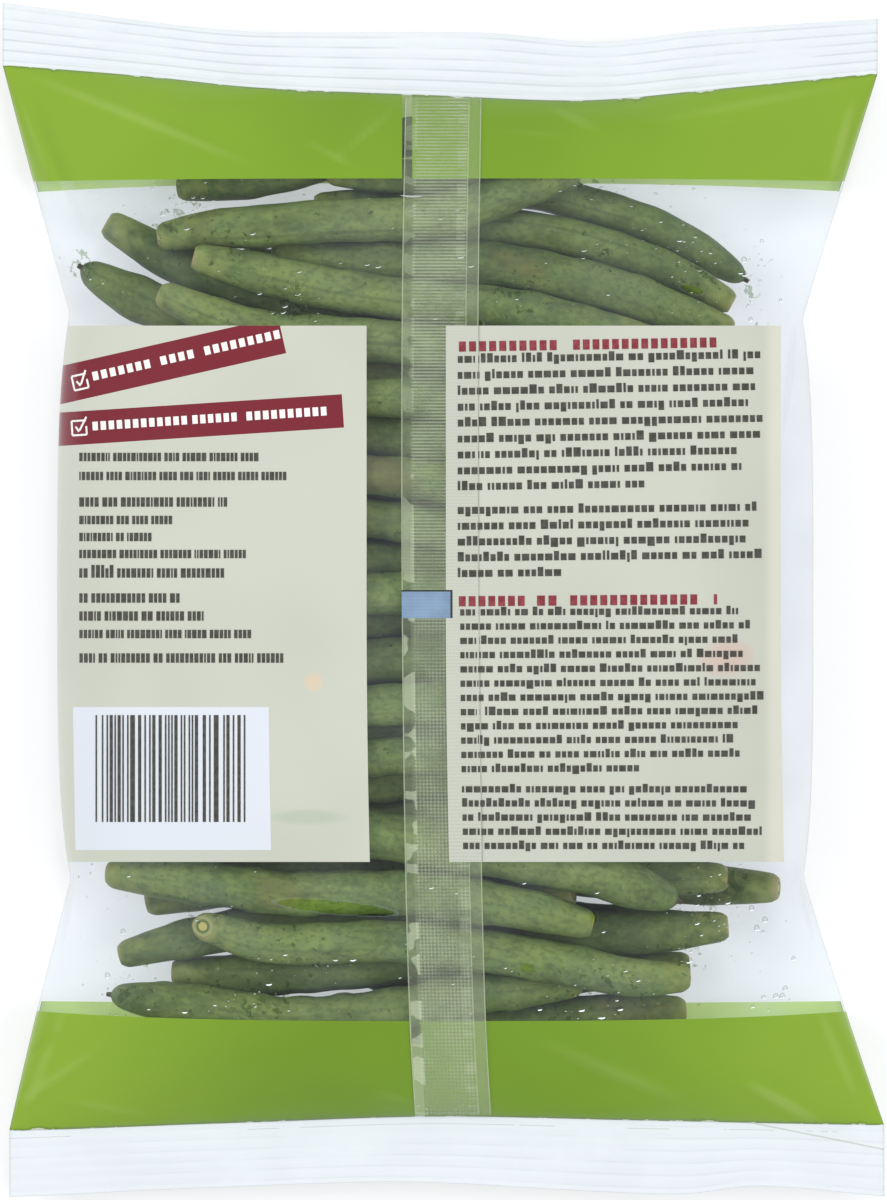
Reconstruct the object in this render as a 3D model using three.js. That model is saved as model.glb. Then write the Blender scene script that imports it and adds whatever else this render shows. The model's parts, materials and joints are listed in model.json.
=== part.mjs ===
// A bundle of trimmed green beans lying crosswise in its sealed, clear pillow bag.
// The bag lies on its front, with the lapped fin of its back seam on top.
// Millimetres, +X across the bag, +Y towards its top end, +Z up, the origin on the floor under its middle.

import * as THREE from 'three';

// Bag, as it lies filled: 250 mm from corner to corner
const SEAL_HALF_WIDTH = 91.6;
const WAIST_HALF_WIDTH = 76.6;
const MIDDLE_HALF_WIDTH = 79;
const WAIST_Y = 57;
const MIDDLE_X = -1.7;
const TOP_BULGE = 25.5;
const UNDERSIDE_BULGE = 15.5;
const SIDE_EDGE_Z = 13.5;
const CORNER_DROOP = 4;
const FILM_WALL = 0.45;
const GAP = 0.35;

// How the bulge falls off towards the seals and the side edges, as powers of the way there
const LENGTHWISE_POWER = 3;
const LENGTHWISE_ROUNDING = 0.8;
const CROSSWISE_POWER = 2.4;

// Crimped seals. An edge is a smooth line through points [x, distance from the middle of the bag's length].
const TOP_SEAL = {
  side: 1,
  middleX: -0.7,
  reach: 105.4,
  inner: [[-92, 112], [-61, 109.4], [-39, 107.1], [-1, 105.4], [29, 104.4], [52, 106.3], [92, 110.4]],
  outer: [[-92, 125], [-61, 120.9], [-39, 118.8], [9, 118.5], [32, 116.6], [52, 118.8], [92, 121.8]],
};
const BOTTOM_SEAL = {
  side: -1,
  middleX: 0.7,
  reach: 107.9,
  inner: [[-92, 111.2], [-46, 109.4], [-1, 107.9], [44, 108.8], [92, 110]],
  outer: [[-92, 125], [-46, 122.8], [-9, 121.6], [49, 124.2], [66, 122.6], [92, 124.8]],
};
const SEAL_THICKNESS = 0.6;
const SLIT_SHARE = 0.8;
const CRIMP_COUNT = 6;
const CRIMP_HEIGHT = 0.35;

// Folded-over fin of the back seam, along a smooth line through points [y, x]
const FIN_WIDTH = 15.9;
const FIN_THICKNESS = 0.4;
const FIN_LINE = [[-108, 2], [-88, 0.9], [-56, 0], [0, -0.7], [60, -0.7], [106, 0]];

// Beans
const BEAN_RADIUS = 4.7;
const BEAN_RADIUS_SPREAD = 0.45;
const BEAN_LENGTH = 112;
const BEAN_LENGTH_SPREAD = 16;
const BEAN_FLATNESS = 0.9;
const FACET_REACH = 1.03;
const BEAN_NODES = 9;
const BEAN_SIDES = 7;
const BEAN_CLEARANCE = 0.6;
const BEAN_PITCH = 2 * BEAN_RADIUS + BEAN_CLEARANCE;
const LAYER_HEIGHT = 8.6;
const FILM_CLEARANCE = 0.75;
const TILT_SPREAD = 7.5;
const BOW_SPREAD = 3.5;
const ROLL_SPREAD = 0.5;
const PILE_HALF_WIDTH = 63;
const TIPPED_SHARE = 0.16;
const CUT_END_SHARES = [0.66, 0.93];
const TIP_SHARES = [0.34, 0.84];
const SETTLING_STEPS = 720;
const SETTLING_SHARE = 0.6;
const FIRST_SINK = 0.12;
const FIRST_HOLD = 0.4;
const LAST_HOLD = 0.05;
const SEED = 20260;

// The beans seen through the clear ends of the back: the middle line of each through points [x, y] from left
// to right, its layer counted from the floor, and which end keeps its natural tip
const SEEN_BEANS = [
  { line: [[-56, 86], [-27, 89.5], [0, 94.5], [44, 90.5]], layer: 1 },
  { line: [[-70.6, 79.1], [-56.2, 70.5], [-37.5, 62.1], [-26.9, 58], [24, 44]], layer: 1 },
  { line: [[-59.9, 75.5], [-48.2, 77.2], [-32.2, 78.2], [-10.9, 82.6], [7.2, 86.4], [28, 91]], layer: 2.3 },
  { line: [[-25, 89], [5, 87.5], [24.2, 84.6], [47.3, 76.6], [64.1, 66.4]], layer: 1.5, tip: 'right' },
  { line: [[-27, 82], [13.7, 79.1], [32.9, 74.1], [47.3, 68.6], [60, 61.5]], layer: 2 },
  { line: [[-36, 73], [-16.2, 72.4], [13.7, 69.2], [28.1, 65.4], [60, 55.5]], layer: 1.8 },
  { line: [[-52, 71.5], [-32.2, 66.5], [-10.9, 62.3], [18.5, 59.8], [44, 54]], layer: 2.6 },
  { line: [[-77, 70], [-68, 65], [-55, 60], [9, 45]], layer: 1.6, tip: 'left' },
  { line: [[-59, 64], [-53.6, 61.1], [-34.8, 54.2], [35, 46]], layer: 2.4 },
  { line: [[-70.6, -56.9], [-29.6, -61.9], [8.5, -64.6], [31.3, -67.8]], layer: 2.8 },
  { line: [[-31, -46], [21, -54], [49.7, -62.9]], layer: 2.6, tip: 'right' },
  { line: [[-62.5, -63.5], [59.5, -58]], layer: 1.3 },
  { line: [[-51.1, -66.6], [-34.4, -71.5], [8.5, -73.8], [33, -78.2], [51.4, -78.7]], layer: 2.4 },
  { line: [[-67.5, -74.5], [-55.2, -71.5], [27, -58]], layer: 1.5 },
  { line: [[-57, -77], [59.3, -68.2]], layer: 1 },
  { line: [[-71, -82.2], [-59, -83.5], [-39.4, -83.2], [-9.8, -80.8], [29, -80]], layer: 2.1, tip: 'left' },
  { line: [[-39, -88], [50.7, -86]], layer: 1 },
];

// Beans that lie deeper there and close the gaps between those
const DEEP_BEANS = [
  { line: [[-44, 81], [50, 75]], layer: 0.3 },
  { line: [[-47, 68], [52, 66]], layer: 0.3 },
  { line: [[-46, -78], [49, -81]], layer: 0.3 },
  { line: [[-49, -69], [51, -66]], layer: 0.3 },
];

// How many beans by rule lie in each layer from the floor, and the stretch of the bag that they fill
const HIDDEN_LAYERS = [
  { layer: 0.5, from: -57, to: 57, count: 12 },
  { layer: 1.4, from: -49, to: 49, count: 10 },
  { layer: 2.3, from: -42, to: 38, count: 8 },
  { layer: 3.1, from: -38, to: 36, count: 5 },
];

function seededRandom(seed) {
  let state = seed >>> 0;
  return () => {
    state = (state + 0x6d2b79f5) >>> 0;
    let mixed = Math.imul(state ^ (state >>> 15), 1 | state);
    mixed = (mixed + Math.imul(mixed ^ (mixed >>> 7), 61 | mixed)) ^ mixed;
    return ((mixed ^ (mixed >>> 14)) >>> 0) / 4294967296;
  };
}

// A smooth line through points [place, value], which keeps its end values beyond them
function smoothLine(points) {
  const last = points.length - 1;
  const slopes = points.map((_, i) => {
    const [before, after] = [points[Math.max(0, i - 1)], points[Math.min(last, i + 1)]];
    return (after[1] - before[1]) / (after[0] - before[0]);
  });
  return (place) => {
    const at = THREE.MathUtils.clamp(place, points[0][0], points[last][0]);
    let i = 0;
    while (i < last - 1 && at > points[i + 1][0]) {
      i += 1;
    }
    const span = points[i + 1][0] - points[i][0];
    const t = (at - points[i][0]) / span;
    const start = (1 + 2 * t) * (1 - t) ** 2 * points[i][1] + t * (1 - t) ** 2 * span * slopes[i];
    const end = t * t * (3 - 2 * t) * points[i + 1][1] - t * t * (1 - t) * span * slopes[i + 1];
    return start + end;
  };
}

for (const seal of [TOP_SEAL, BOTTOM_SEAL]) {
  seal.innerLine = smoothLine(seal.inner);
  seal.outerLine = smoothLine(seal.outer);
}
const finLine = smoothLine(FIN_LINE);

// Bag surface. A station runs from -1 at the bottom seal to 1 at the top seal.

function sealAt(station) {
  return station >= 0 ? TOP_SEAL : BOTTOM_SEAL;
}

function halfWidth(station) {
  const seal = sealAt(station);
  const y = Math.abs(station) * seal.reach;
  if (y > WAIST_Y) {
    const beyond = Math.min(1, (y - WAIST_Y) / (seal.reach - WAIST_Y));
    return THREE.MathUtils.lerp(WAIST_HALF_WIDTH, SEAL_HALF_WIDTH, beyond);
  }
  return THREE.MathUtils.lerp(MIDDLE_HALF_WIDTH, WAIST_HALF_WIDTH, (y / WAIST_Y) ** 4);
}

function middleX(station) {
  return THREE.MathUtils.lerp(MIDDLE_X, sealAt(station).middleX, Math.abs(station) ** 3);
}

// Share of the bulge left at a station along the bag, from 1 in the middle to 0 at a seal
function lengthwiseBulge(station) {
  return Math.max(0, 1 - Math.abs(station) ** LENGTHWISE_POWER) ** LENGTHWISE_ROUNDING;
}

// Share of the bulge left across the bag, from 1 in the middle to 0 at a side edge
function crosswiseBulge(across) {
  return Math.sqrt(Math.max(0, 1 - Math.abs(across) ** CROSSWISE_POWER));
}

function edgeZ(x, station) {
  return SIDE_EDGE_Z - CORNER_DROOP * (x / SEAL_HALF_WIDTH) ** 2 * station ** 4;
}

// Height of the film's outer face less an inset, above or below, at a station and a share across
function filmHeight(x, station, across, face, inset) {
  const bulge = lengthwiseBulge(station) * crosswiseBulge(across);
  const slit = SLIT_SHARE * (SEAL_THICKNESS - inset) * Math.sqrt(crosswiseBulge(across));
  if (face > 0) {
    return edgeZ(x, station) + slit + (TOP_BULGE - inset) * bulge;
  }
  return Math.max(inset, edgeZ(x, station) - slit - (UNDERSIDE_BULGE - inset) * bulge);
}

function filmPoint(station, angle, inset) {
  const across = Math.cos(angle);
  const x = middleX(station) + (halfWidth(station) - inset) * across;
  const y = station * sealAt(station).innerLine(x);
  return new THREE.Vector3(x, y, filmHeight(x, station, across, Math.sin(angle) >= 0 ? 1 : -1, inset));
}

function stationOf(x, y) {
  const seal = sealAt(y);
  return THREE.MathUtils.clamp(y / seal.innerLine(x), -1, 1);
}

// Height of the film over or under a point of the bag's plan
function filmHeightAt(x, y, face, inset) {
  const station = stationOf(x, y);
  const across = (x - middleX(station)) / (halfWidth(station) - inset);
  return filmHeight(x, station, THREE.MathUtils.clamp(across, -1, 1), face, inset);
}

// Closed bodies from rings of points

function geometryFrom(points, triangles) {
  const geometry = new THREE.BufferGeometry();
  const numbers = points.flatMap((p) => [p.x, p.y, p.z]);
  geometry.setAttribute('position', new THREE.Float32BufferAttribute(numbers, 3));
  geometry.setIndex(triangles);
  geometry.computeVertexNormals();
  return geometry;
}

function ringWall(triangles, ringCount, ringSize, first, flipped) {
  for (let ring = 0; ring < ringCount - 1; ring += 1) {
    for (let side = 0; side < ringSize; side += 1) {
      const next = (side + 1) % ringSize;
      const a = first + ring * ringSize + side;
      const b = first + ring * ringSize + next;
      const c = a + ringSize;
      const d = b + ringSize;
      if (flipped) {
        triangles.push(a, c, b, b, c, d);
      } else {
        triangles.push(a, b, c, b, d, c);
      }
    }
  }
}

// A solid through rings that turn counterclockwise seen from its far end
function loft(rings) {
  const size = rings[0].length;
  const points = rings.flat();
  const triangles = [];
  ringWall(triangles, rings.length, size, 0, false);
  for (const [ring, nearEnd] of [[rings[0], true], [rings[rings.length - 1], false]]) {
    const centre = ring.reduce((sum, p) => sum.add(p), new THREE.Vector3()).divideScalar(size);
    const first = nearEnd ? 0 : (rings.length - 1) * size;
    points.push(centre);
    for (let side = 0; side < size; side += 1) {
      const a = first + side;
      const b = first + ((side + 1) % size);
      triangles.push(...(nearEnd ? [points.length - 1, b, a] : [points.length - 1, a, b]));
    }
  }
  return geometryFrom(points, triangles);
}

// A tube with a wall, from outer and inner rings that turn the same way
function shell(outer, inner) {
  const size = outer[0].length;
  const count = outer.length;
  const points = [...outer.flat(), ...inner.flat()];
  const innerFirst = count * size;
  const triangles = [];
  ringWall(triangles, count, size, 0, false);
  ringWall(triangles, count, size, innerFirst, true);
  for (let side = 0; side < size; side += 1) {
    const next = (side + 1) % size;
    const last = (count - 1) * size;
    triangles.push(side, innerFirst + side, next, next, innerFirst + side, innerFirst + next);
    triangles.push(last + side, last + next, innerFirst + last + side);
    triangles.push(last + next, innerFirst + last + next, innerFirst + last + side);
  }
  return geometryFrom(points, triangles);
}

// Places from -1 to 1, closer together towards both ends, where the bag curves most
function closingIn(count) {
  return Array.from({ length: count + 1 }, (_, i) => Math.sin((Math.PI / 2) * ((2 * i) / count - 1)));
}

function filmTube() {
  const around = 36;
  const rings = (inset) =>
    closingIn(22).map((station) =>
      Array.from({ length: around }, (_, i) => filmPoint(station, (-2 * Math.PI * i) / around, inset)),
    );
  return shell(rings(0), rings(FILM_WALL));
}

// A crimped strip: its ribs run across the bag, and its corners droop as the film's do
function endSeal(seal) {
  const rows = 2 * CRIMP_COUNT;
  const sections = closingIn(20).map((share) => {
    const x = seal.middleX + SEAL_HALF_WIDTH * share;
    const inner = seal.innerLine(x) + GAP;
    const corner = (row, lift) => {
      const y = THREE.MathUtils.lerp(inner, seal.outerLine(x), row / rows);
      const ribbed = edgeZ(x, 1) + ((row % 2) - 0.5) * CRIMP_HEIGHT;
      return new THREE.Vector3(x, seal.side * y, ribbed + lift);
    };
    const ring = [];
    for (let row = 0; row <= rows; row += 1) {
      ring.push(corner(row, SEAL_THICKNESS / 2));
    }
    for (let row = rows; row >= 0; row -= 1) {
      ring.push(corner(row, -SEAL_THICKNESS / 2));
    }
    return seal.side > 0 ? ring.reverse() : ring;
  });
  return loftFlat(sections);
}

// A solid through long thin sections, whose ends are closed by a strip of quads
function loftFlat(sections) {
  const size = sections[0].length;
  const triangles = [];
  ringWall(triangles, sections.length, size, 0, false);
  const last = (sections.length - 1) * size;
  for (let i = 0; i < size / 2 - 1; i += 1) {
    const j = size - 1 - i;
    triangles.push(i, j - 1, i + 1, i, j, j - 1);
    triangles.push(last + i, last + i + 1, last + j - 1, last + i, last + j - 1, last + j);
  }
  return geometryFrom(sections.flat(), triangles);
}

function finSeal() {
  const columns = 4;
  const sections = closingIn(28).map((station) => {
    const y = station * (sealAt(station).reach - GAP);
    const corner = (column, lift) => {
      const x = finLine(y) + FIN_WIDTH * (column / columns - 0.5);
      return new THREE.Vector3(x, y, filmHeightAt(x, y, 1, 0) + GAP + lift);
    };
    const ring = [];
    for (let column = 0; column <= columns; column += 1) {
      ring.push(corner(column, 0));
    }
    for (let column = columns; column >= 0; column -= 1) {
      ring.push(corner(column, FIN_THICKNESS));
    }
    return ring.reverse();
  });
  return loftFlat(sections);
}

// Beans: each is a chain of nodes that keeps its length and its bend, and the chains settle into the bag

function makeBean(random, line, layer, tip) {
  const radius = BEAN_RADIUS + BEAN_RADIUS_SPREAD * (2 * random() - 1);
  const middleY = smoothLine(line);
  const [left, right] = [line[0][0], line[line.length - 1][0]];
  const nodes = Array.from({ length: BEAN_NODES }, (_, i) => {
    const x = THREE.MathUtils.lerp(left, right, i / (BEAN_NODES - 1));
    return new THREE.Vector3(x, middleY(x), FILM_WALL + radius + LAYER_HEIGHT * layer);
  });
  const radii = nodes.map((_, i) => radius * nodeRadiusShare(i, tip));
  const links = [];
  for (const reach of [1, 2, 4]) {
    for (let i = 0; i + reach < BEAN_NODES; i += 1) {
      links.push([i, i + reach, nodes[i].distanceTo(nodes[i + reach])]);
    }
  }
  return { nodes, radii, links, tip, roll: ROLL_SPREAD * (2 * random() - 1) };
}

function nodeRadiusShare(i, tip) {
  const fromLeft = (tip === 'left' ? TIP_SHARES : CUT_END_SHARES)[i] ?? 1;
  const fromRight = (tip === 'right' ? TIP_SHARES : CUT_END_SHARES)[BEAN_NODES - 1 - i] ?? 1;
  return fromLeft * fromRight;
}

function placeBeans() {
  const random = seededRandom(SEED);
  const spread = (amount) => amount * (2 * random() - 1);
  const beans = SEEN_BEANS.map((b) => makeBean(random, b.line, b.layer, b.tip));
  for (const bean of beans) {
    bean.places = bean.nodes.map((node) => node.clone());
  }
  beans.push(...DEEP_BEANS.map((b) => makeBean(random, b.line, b.layer)));
  for (const { layer, from, to, count } of HIDDEN_LAYERS) {
    for (let i = 0; i < count; i += 1) {
      const y = from + ((to - from) * i) / (count - 1);
      const half = (BEAN_LENGTH + spread(BEAN_LENGTH_SPREAD)) / 2;
      const middle = MIDDLE_X + spread(PILE_HALF_WIDTH - half);
      const tilt = spread(TILT_SPREAD);
      const line = [[middle - half, y + tilt], [middle, y + spread(BOW_SPREAD)], [middle + half, y - tilt]];
      beans.push(makeBean(random, line, layer, random() < TIPPED_SHARE ? 'right' : undefined));
    }
  }
  return beans;
}

function keepLinks(bean) {
  for (const [a, b, length] of bean.links) {
    const pull = bean.nodes[b].clone().sub(bean.nodes[a]);
    const now = pull.length();
    pull.multiplyScalar((0.5 * (now - length)) / now);
    bean.nodes[a].add(pull);
    bean.nodes[b].sub(pull);
  }
}

// Shares along two segments at which they come closest
function closestShares(p, q, r, s) {
  const d1 = q.clone().sub(p);
  const d2 = s.clone().sub(r);
  const between = p.clone().sub(r);
  const a = d1.dot(d1);
  const e = d2.dot(d2);
  const b = d1.dot(d2);
  const c = d1.dot(between);
  const f = d2.dot(between);
  const clamp = (v) => Math.max(0, Math.min(1, v));
  const denominator = a * e - b * b;
  let first = denominator > 1e-9 ? clamp((b * f - c * e) / denominator) : 0.5;
  let second = (b * first + f) / e;
  if (second < 0 || second > 1) {
    second = clamp(second);
    first = clamp((b * second - c) / a);
  }
  return [first, second];
}

function separateSegments(one, i, two, j) {
  const [p, q] = [one.nodes[i], one.nodes[i + 1]];
  const [r, s] = [two.nodes[j], two.nodes[j + 1]];
  const [first, second] = closestShares(p, q, r, s);
  const apart = p.clone().lerp(q, first).sub(r.clone().lerp(s, second));
  const distance = Math.max(apart.length(), 1e-6);
  const needed =
    THREE.MathUtils.lerp(one.radii[i], one.radii[i + 1], first) +
    THREE.MathUtils.lerp(two.radii[j], two.radii[j + 1], second) +
    BEAN_CLEARANCE;
  if (distance >= needed) {
    return;
  }
  apart.multiplyScalar((0.5 * (needed - distance)) / distance);
  const weight = (share) => share * share + (1 - share) ** 2;
  p.addScaledVector(apart, (1 - first) / weight(first));
  q.addScaledVector(apart, first / weight(first));
  r.addScaledVector(apart, -(1 - second) / weight(second));
  s.addScaledVector(apart, -second / weight(second));
}

function separateBeans(beans) {
  const reach = (BEAN_PITCH + BEAN_RADIUS_SPREAD) / 2;
  const boxes = beans.map((bean) => new THREE.Box3().setFromPoints(bean.nodes).expandByScalar(reach));
  for (let one = 0; one < beans.length; one += 1) {
    for (let two = one + 1; two < beans.length; two += 1) {
      if (!boxes[one].intersectsBox(boxes[two])) {
        continue;
      }
      for (let i = 0; i < BEAN_NODES - 1; i += 1) {
        for (let j = 0; j < BEAN_NODES - 1; j += 1) {
          separateSegments(beans[one], i, beans[two], j);
        }
      }
    }
  }
}

// Keeps a node its radius away from the film's inner face, above and below it
function keepInBag(node, radius) {
  const reach = FACET_REACH * radius + FILM_CLEARANCE;
  const step = 0.5;
  for (const face of [1, -1]) {
    const height = filmHeightAt(node.x, node.y, face, FILM_WALL);
    const slopeX = (filmHeightAt(node.x + step, node.y, face, FILM_WALL) - height) / step;
    const slopeY = (filmHeightAt(node.x, node.y + step, face, FILM_WALL) - height) / step;
    const steepness = Math.hypot(1, slopeX, slopeY);
    const missing = reach - (face * (height - node.z)) / steepness;
    if (missing > 0) {
      const inward = new THREE.Vector3(slopeX, slopeY, -1).multiplyScalar(face / steepness);
      node.addScaledVector(inward, missing);
    }
  }
  const station = stationOf(node.x, node.y);
  const room = halfWidth(station) - FILM_WALL - reach;
  node.x = THREE.MathUtils.clamp(node.x, middleX(station) - room, middleX(station) + room);
}

// Draws a seen bean back to its place in plan
function holdBean(bean, share) {
  bean.nodes.forEach((node, i) => {
    node.x = THREE.MathUtils.lerp(node.x, bean.places[i].x, share);
    node.y = THREE.MathUtils.lerp(node.y, bean.places[i].y, share);
  });
}

function settle(beans) {
  for (let step = 0; step < SETTLING_STEPS; step += 1) {
    const left = Math.max(0, 1 - step / (SETTLING_SHARE * SETTLING_STEPS));
    const sink = FIRST_SINK * left;
    const hold = THREE.MathUtils.lerp(LAST_HOLD, FIRST_HOLD, left);
    beans.filter((bean) => bean.places).forEach((bean) => holdBean(bean, hold));
    for (const bean of beans) {
      for (const node of bean.nodes) {
        node.z -= sink;
      }
      keepLinks(bean);
      keepLinks(bean);
    }
    separateBeans(beans);
    for (const bean of beans) {
      bean.nodes.forEach((node, i) => keepInBag(node, bean.radii[i]));
    }
  }
}

function beanGeometry(bean) {
  const rings = [];
  const across = new THREE.Vector3();
  for (let i = 0; i < BEAN_NODES; i += 1) {
    const before = bean.nodes[Math.max(0, i - 1)];
    const after = bean.nodes[Math.min(BEAN_NODES - 1, i + 1)];
    const forward = after.clone().sub(before).normalize();
    across.set(0, 0, 1).cross(forward).normalize();
    const up = forward.clone().cross(across);
    const ring = [];
    for (let side = 0; side < BEAN_SIDES; side += 1) {
      const angle = (2 * Math.PI * side) / BEAN_SIDES;
      const wide = FACET_REACH * bean.radii[i] * Math.cos(angle);
      const narrow = FACET_REACH * bean.radii[i] * BEAN_FLATNESS * Math.sin(angle);
      const cos = Math.cos(bean.roll);
      const sin = Math.sin(bean.roll);
      ring.push(
        bean.nodes[i]
          .clone()
          .addScaledVector(across, wide * cos - narrow * sin)
          .addScaledVector(up, wide * sin + narrow * cos),
      );
    }
    rings.push(ring);
  }
  return loft(rings);
}

// Materials

const clearFilm = new THREE.MeshStandardMaterial({
  color: 0xeff5fc,
  roughness: 0.18,
  metalness: 0,
  transparent: true,
  opacity: 0.3,
});
const sealedFilm = new THREE.MeshStandardMaterial({
  color: 0xe8eff8,
  roughness: 0.35,
  metalness: 0,
  transparent: true,
  opacity: 0.7,
});
const finFilm = new THREE.MeshStandardMaterial({
  color: 0xdde6dd,
  roughness: 0.4,
  metalness: 0,
  transparent: true,
  opacity: 0.45,
});
const beanSkin = new THREE.MeshStandardMaterial({ color: 0x5a7d3a, roughness: 0.55, metalness: 0 });

const bag = new THREE.Group();

function add(name, geometry, material) {
  const mesh = new THREE.Mesh(geometry, material);
  mesh.name = name;
  bag.add(mesh);
}

add('film_tube', filmTube(), clearFilm);
add('end_seal_top', endSeal(TOP_SEAL), sealedFilm);
add('end_seal_bottom', endSeal(BOTTOM_SEAL), sealedFilm);
add('fin_seal', finSeal(), finFilm);

const beans = placeBeans();
settle(beans);
beans.forEach((bean, i) => add(`bean_${String(i + 1).padStart(2, '0')}`, beanGeometry(bean), beanSkin));

export default bag;
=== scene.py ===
"""A bundle of trimmed green beans lying crosswise in its sealed, clear pillow bag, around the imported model.

Metres, +X across the bag, +Y towards its top seal, +Z up. The bag lies on its front, so its printed back
with the lapped fin of the back seam is on top. Places that are given in millimetres say so.
"""

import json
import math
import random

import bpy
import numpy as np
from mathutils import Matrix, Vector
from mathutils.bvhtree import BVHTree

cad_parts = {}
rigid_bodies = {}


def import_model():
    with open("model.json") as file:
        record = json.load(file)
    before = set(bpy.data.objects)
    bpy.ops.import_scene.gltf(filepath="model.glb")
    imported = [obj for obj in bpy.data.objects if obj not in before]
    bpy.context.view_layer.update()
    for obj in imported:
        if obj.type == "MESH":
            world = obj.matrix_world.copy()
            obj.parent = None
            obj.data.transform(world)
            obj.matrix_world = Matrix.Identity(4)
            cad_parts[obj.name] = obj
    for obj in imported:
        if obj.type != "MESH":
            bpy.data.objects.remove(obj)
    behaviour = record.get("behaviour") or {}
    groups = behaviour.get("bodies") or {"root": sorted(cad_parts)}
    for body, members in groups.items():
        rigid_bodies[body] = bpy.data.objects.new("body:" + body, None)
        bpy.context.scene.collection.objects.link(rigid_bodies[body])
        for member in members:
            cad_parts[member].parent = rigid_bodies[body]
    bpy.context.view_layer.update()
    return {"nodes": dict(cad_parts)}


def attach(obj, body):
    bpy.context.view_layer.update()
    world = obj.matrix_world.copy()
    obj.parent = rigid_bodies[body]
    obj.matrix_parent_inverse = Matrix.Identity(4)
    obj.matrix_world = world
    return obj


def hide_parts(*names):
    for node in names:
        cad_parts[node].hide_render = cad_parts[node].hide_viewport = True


bl_info = {
    "name": "Bagged green beans",
    "version": (1, 0, 0),
    "blender": (4, 5, 0),
    "location": "View3D > Sidebar > Green beans",
    "description": "Builds the film, seals, print, beans and droplets of a bag of green beans",
    "category": "Object",
}

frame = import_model()

MM = 0.001
SEED = 7

# The bag's surface, as the part's source has it
SEAL_HALF_WIDTH = 91.6 * MM
WAIST_HALF_WIDTH = 76.6 * MM
MIDDLE_HALF_WIDTH = 79 * MM
WAIST_Y = 57 * MM
MIDDLE_X = -1.7 * MM
TOP_BULGE = 25.5 * MM
UNDERSIDE_BULGE = 15.5 * MM
SIDE_EDGE_Z = 13.5 * MM
CORNER_DROOP = 4 * MM
SEAL_THICKNESS = 0.6 * MM
SLIT_SHARE = 0.8
LENGTHWISE_POWER = 3
LENGTHWISE_ROUNDING = 0.8
CROSSWISE_POWER = 2.4
FIN_WIDTH = 15.9 * MM
FIN_GAP = 0.35 * MM
FILM_IOR = 1.46

# Heights of the film's unevenness, and how far the gathers run out of the seals
FLUTTER = 0.45 * MM
FINE_RIPPLES = 0.16 * MM
BROAD_RIPPLES = 0.30 * MM
PUCKERS = 0.28 * MM
PUCKER_REACH = 9 * MM
CREASE_HEIGHT_SHARE = 0.7
CREASE_WIDTH_SHARE = 0.8

# The picture's scale, by which places on the printed back are measured
PIXELS_A_MM = 4.78


def smooth_through(places, values):
    """A smooth function through values, or vectors, at rising places, and level beyond its ends."""
    places = np.asarray(places, float)
    values = np.asarray(values, float)
    before = np.maximum(np.arange(len(places)) - 1, 0)
    after = np.minimum(np.arange(len(places)) + 1, len(places) - 1)
    spans = places[after] - places[before]
    slopes = (values[after] - values[before]) / spans.reshape((-1,) + (1,) * (values.ndim - 1))

    def at(place):
        place = np.clip(place, places[0], places[-1])
        i = np.clip(np.searchsorted(places, place) - 1, 0, len(places) - 2)
        span = places[i + 1] - places[i]
        t = (place - places[i]) / span
        if values.ndim > 1:
            t, span = t[..., None], span[..., None]
        start = (1 + 2 * t) * (1 - t) ** 2 * values[i] + t * (1 - t) ** 2 * span * slopes[i]
        end = t * t * (3 - 2 * t) * values[i + 1] - t * t * (1 - t) * span * slopes[i + 1]
        return start + end

    return at


def line_in_mm(points):
    """A smooth line through points [place, value] in millimetres, as a function in metres."""
    places, values = np.array(points, float).T * MM
    return smooth_through(places, values)


class Seal:
    """One crimped end of the bag, by how far its two edges are from the middle of the bag's length."""

    def __init__(self, side, middle_x, reach, inner, outer):
        self.side = side
        self.middle_x = middle_x * MM
        self.reach = reach * MM
        self.inner = line_in_mm(inner)
        self.outer = line_in_mm(outer)


TOP_SEAL = Seal(
    1, -0.7, 105.4,
    [[-92, 112], [-61, 109.4], [-39, 107.1], [-1, 105.4], [29, 104.4], [52, 106.3], [92, 110.4]],
    [[-92, 125], [-61, 120.9], [-39, 118.8], [9, 118.5], [32, 116.6], [52, 118.8], [92, 121.8]],
)
BOTTOM_SEAL = Seal(
    -1, 0.7, 107.9,
    [[-92, 111.2], [-46, 109.4], [-1, 107.9], [44, 108.8], [92, 110]],
    [[-92, 125], [-46, 122.8], [-9, 121.6], [49, 124.2], [66, 122.6], [92, 124.8]],
)
FIN_LINE = line_in_mm([[-108, 2], [-88, 0.9], [-56, 0], [0, -0.7], [60, -0.7], [106, 0]])

# Creases of the printed back, in millimetres: start, end, half width, and height, below 0 in a furrow
CREASES = [
    ((-91, 111.5), (-36, 89), 1.6, 0.55),
    ((-89.5, 107), (-80.5, 84), 1.5, 0.5),
    ((-87, 108), (-72, 70), 3.0, -0.5),
    ((-31, 97), (-17, 89), 1.5, 0.35),
    ((-23, 91), (-8.5, 104), 1.5, 0.4),
    ((86, 106), (80, 84), 1.6, 0.6),
    ((90, 109), (40, 99), 1.8, 0.4),
    ((20, 104), (34, 97), 1.8, 0.4),
    ((10, 98), (28, 96.5), 1.2, 0.3),
    ((-90, -106), (-70, -92), 1.6, 0.45),
    ((-81, -104), (-60, -108), 1.4, 0.4),
    ((-88, -96), (-80, -90), 1.4, -0.5),
    ((62, -100), (80, -110), 1.8, 0.65),
    ((16, -90), (56, -107), 2.6, 0.4),
    ((-16, -102), (-5, -105), 1.5, 0.35),
    ((88, -108), (76, -80), 1.8, 0.45),
    ((-88, -108), (-77, -80), 1.8, 0.45),
    ((74, 63), (70, 30), 1.7, 0.6),
    ((76, 66), (77, 52), 1.3, -0.6),
    ((-78, 62), (-75, 36), 1.7, 0.5),
    ((73, -52), (78, -76), 1.6, 0.5),
    ((-77, -54), (-80, -76), 1.6, 0.5),
]


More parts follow.
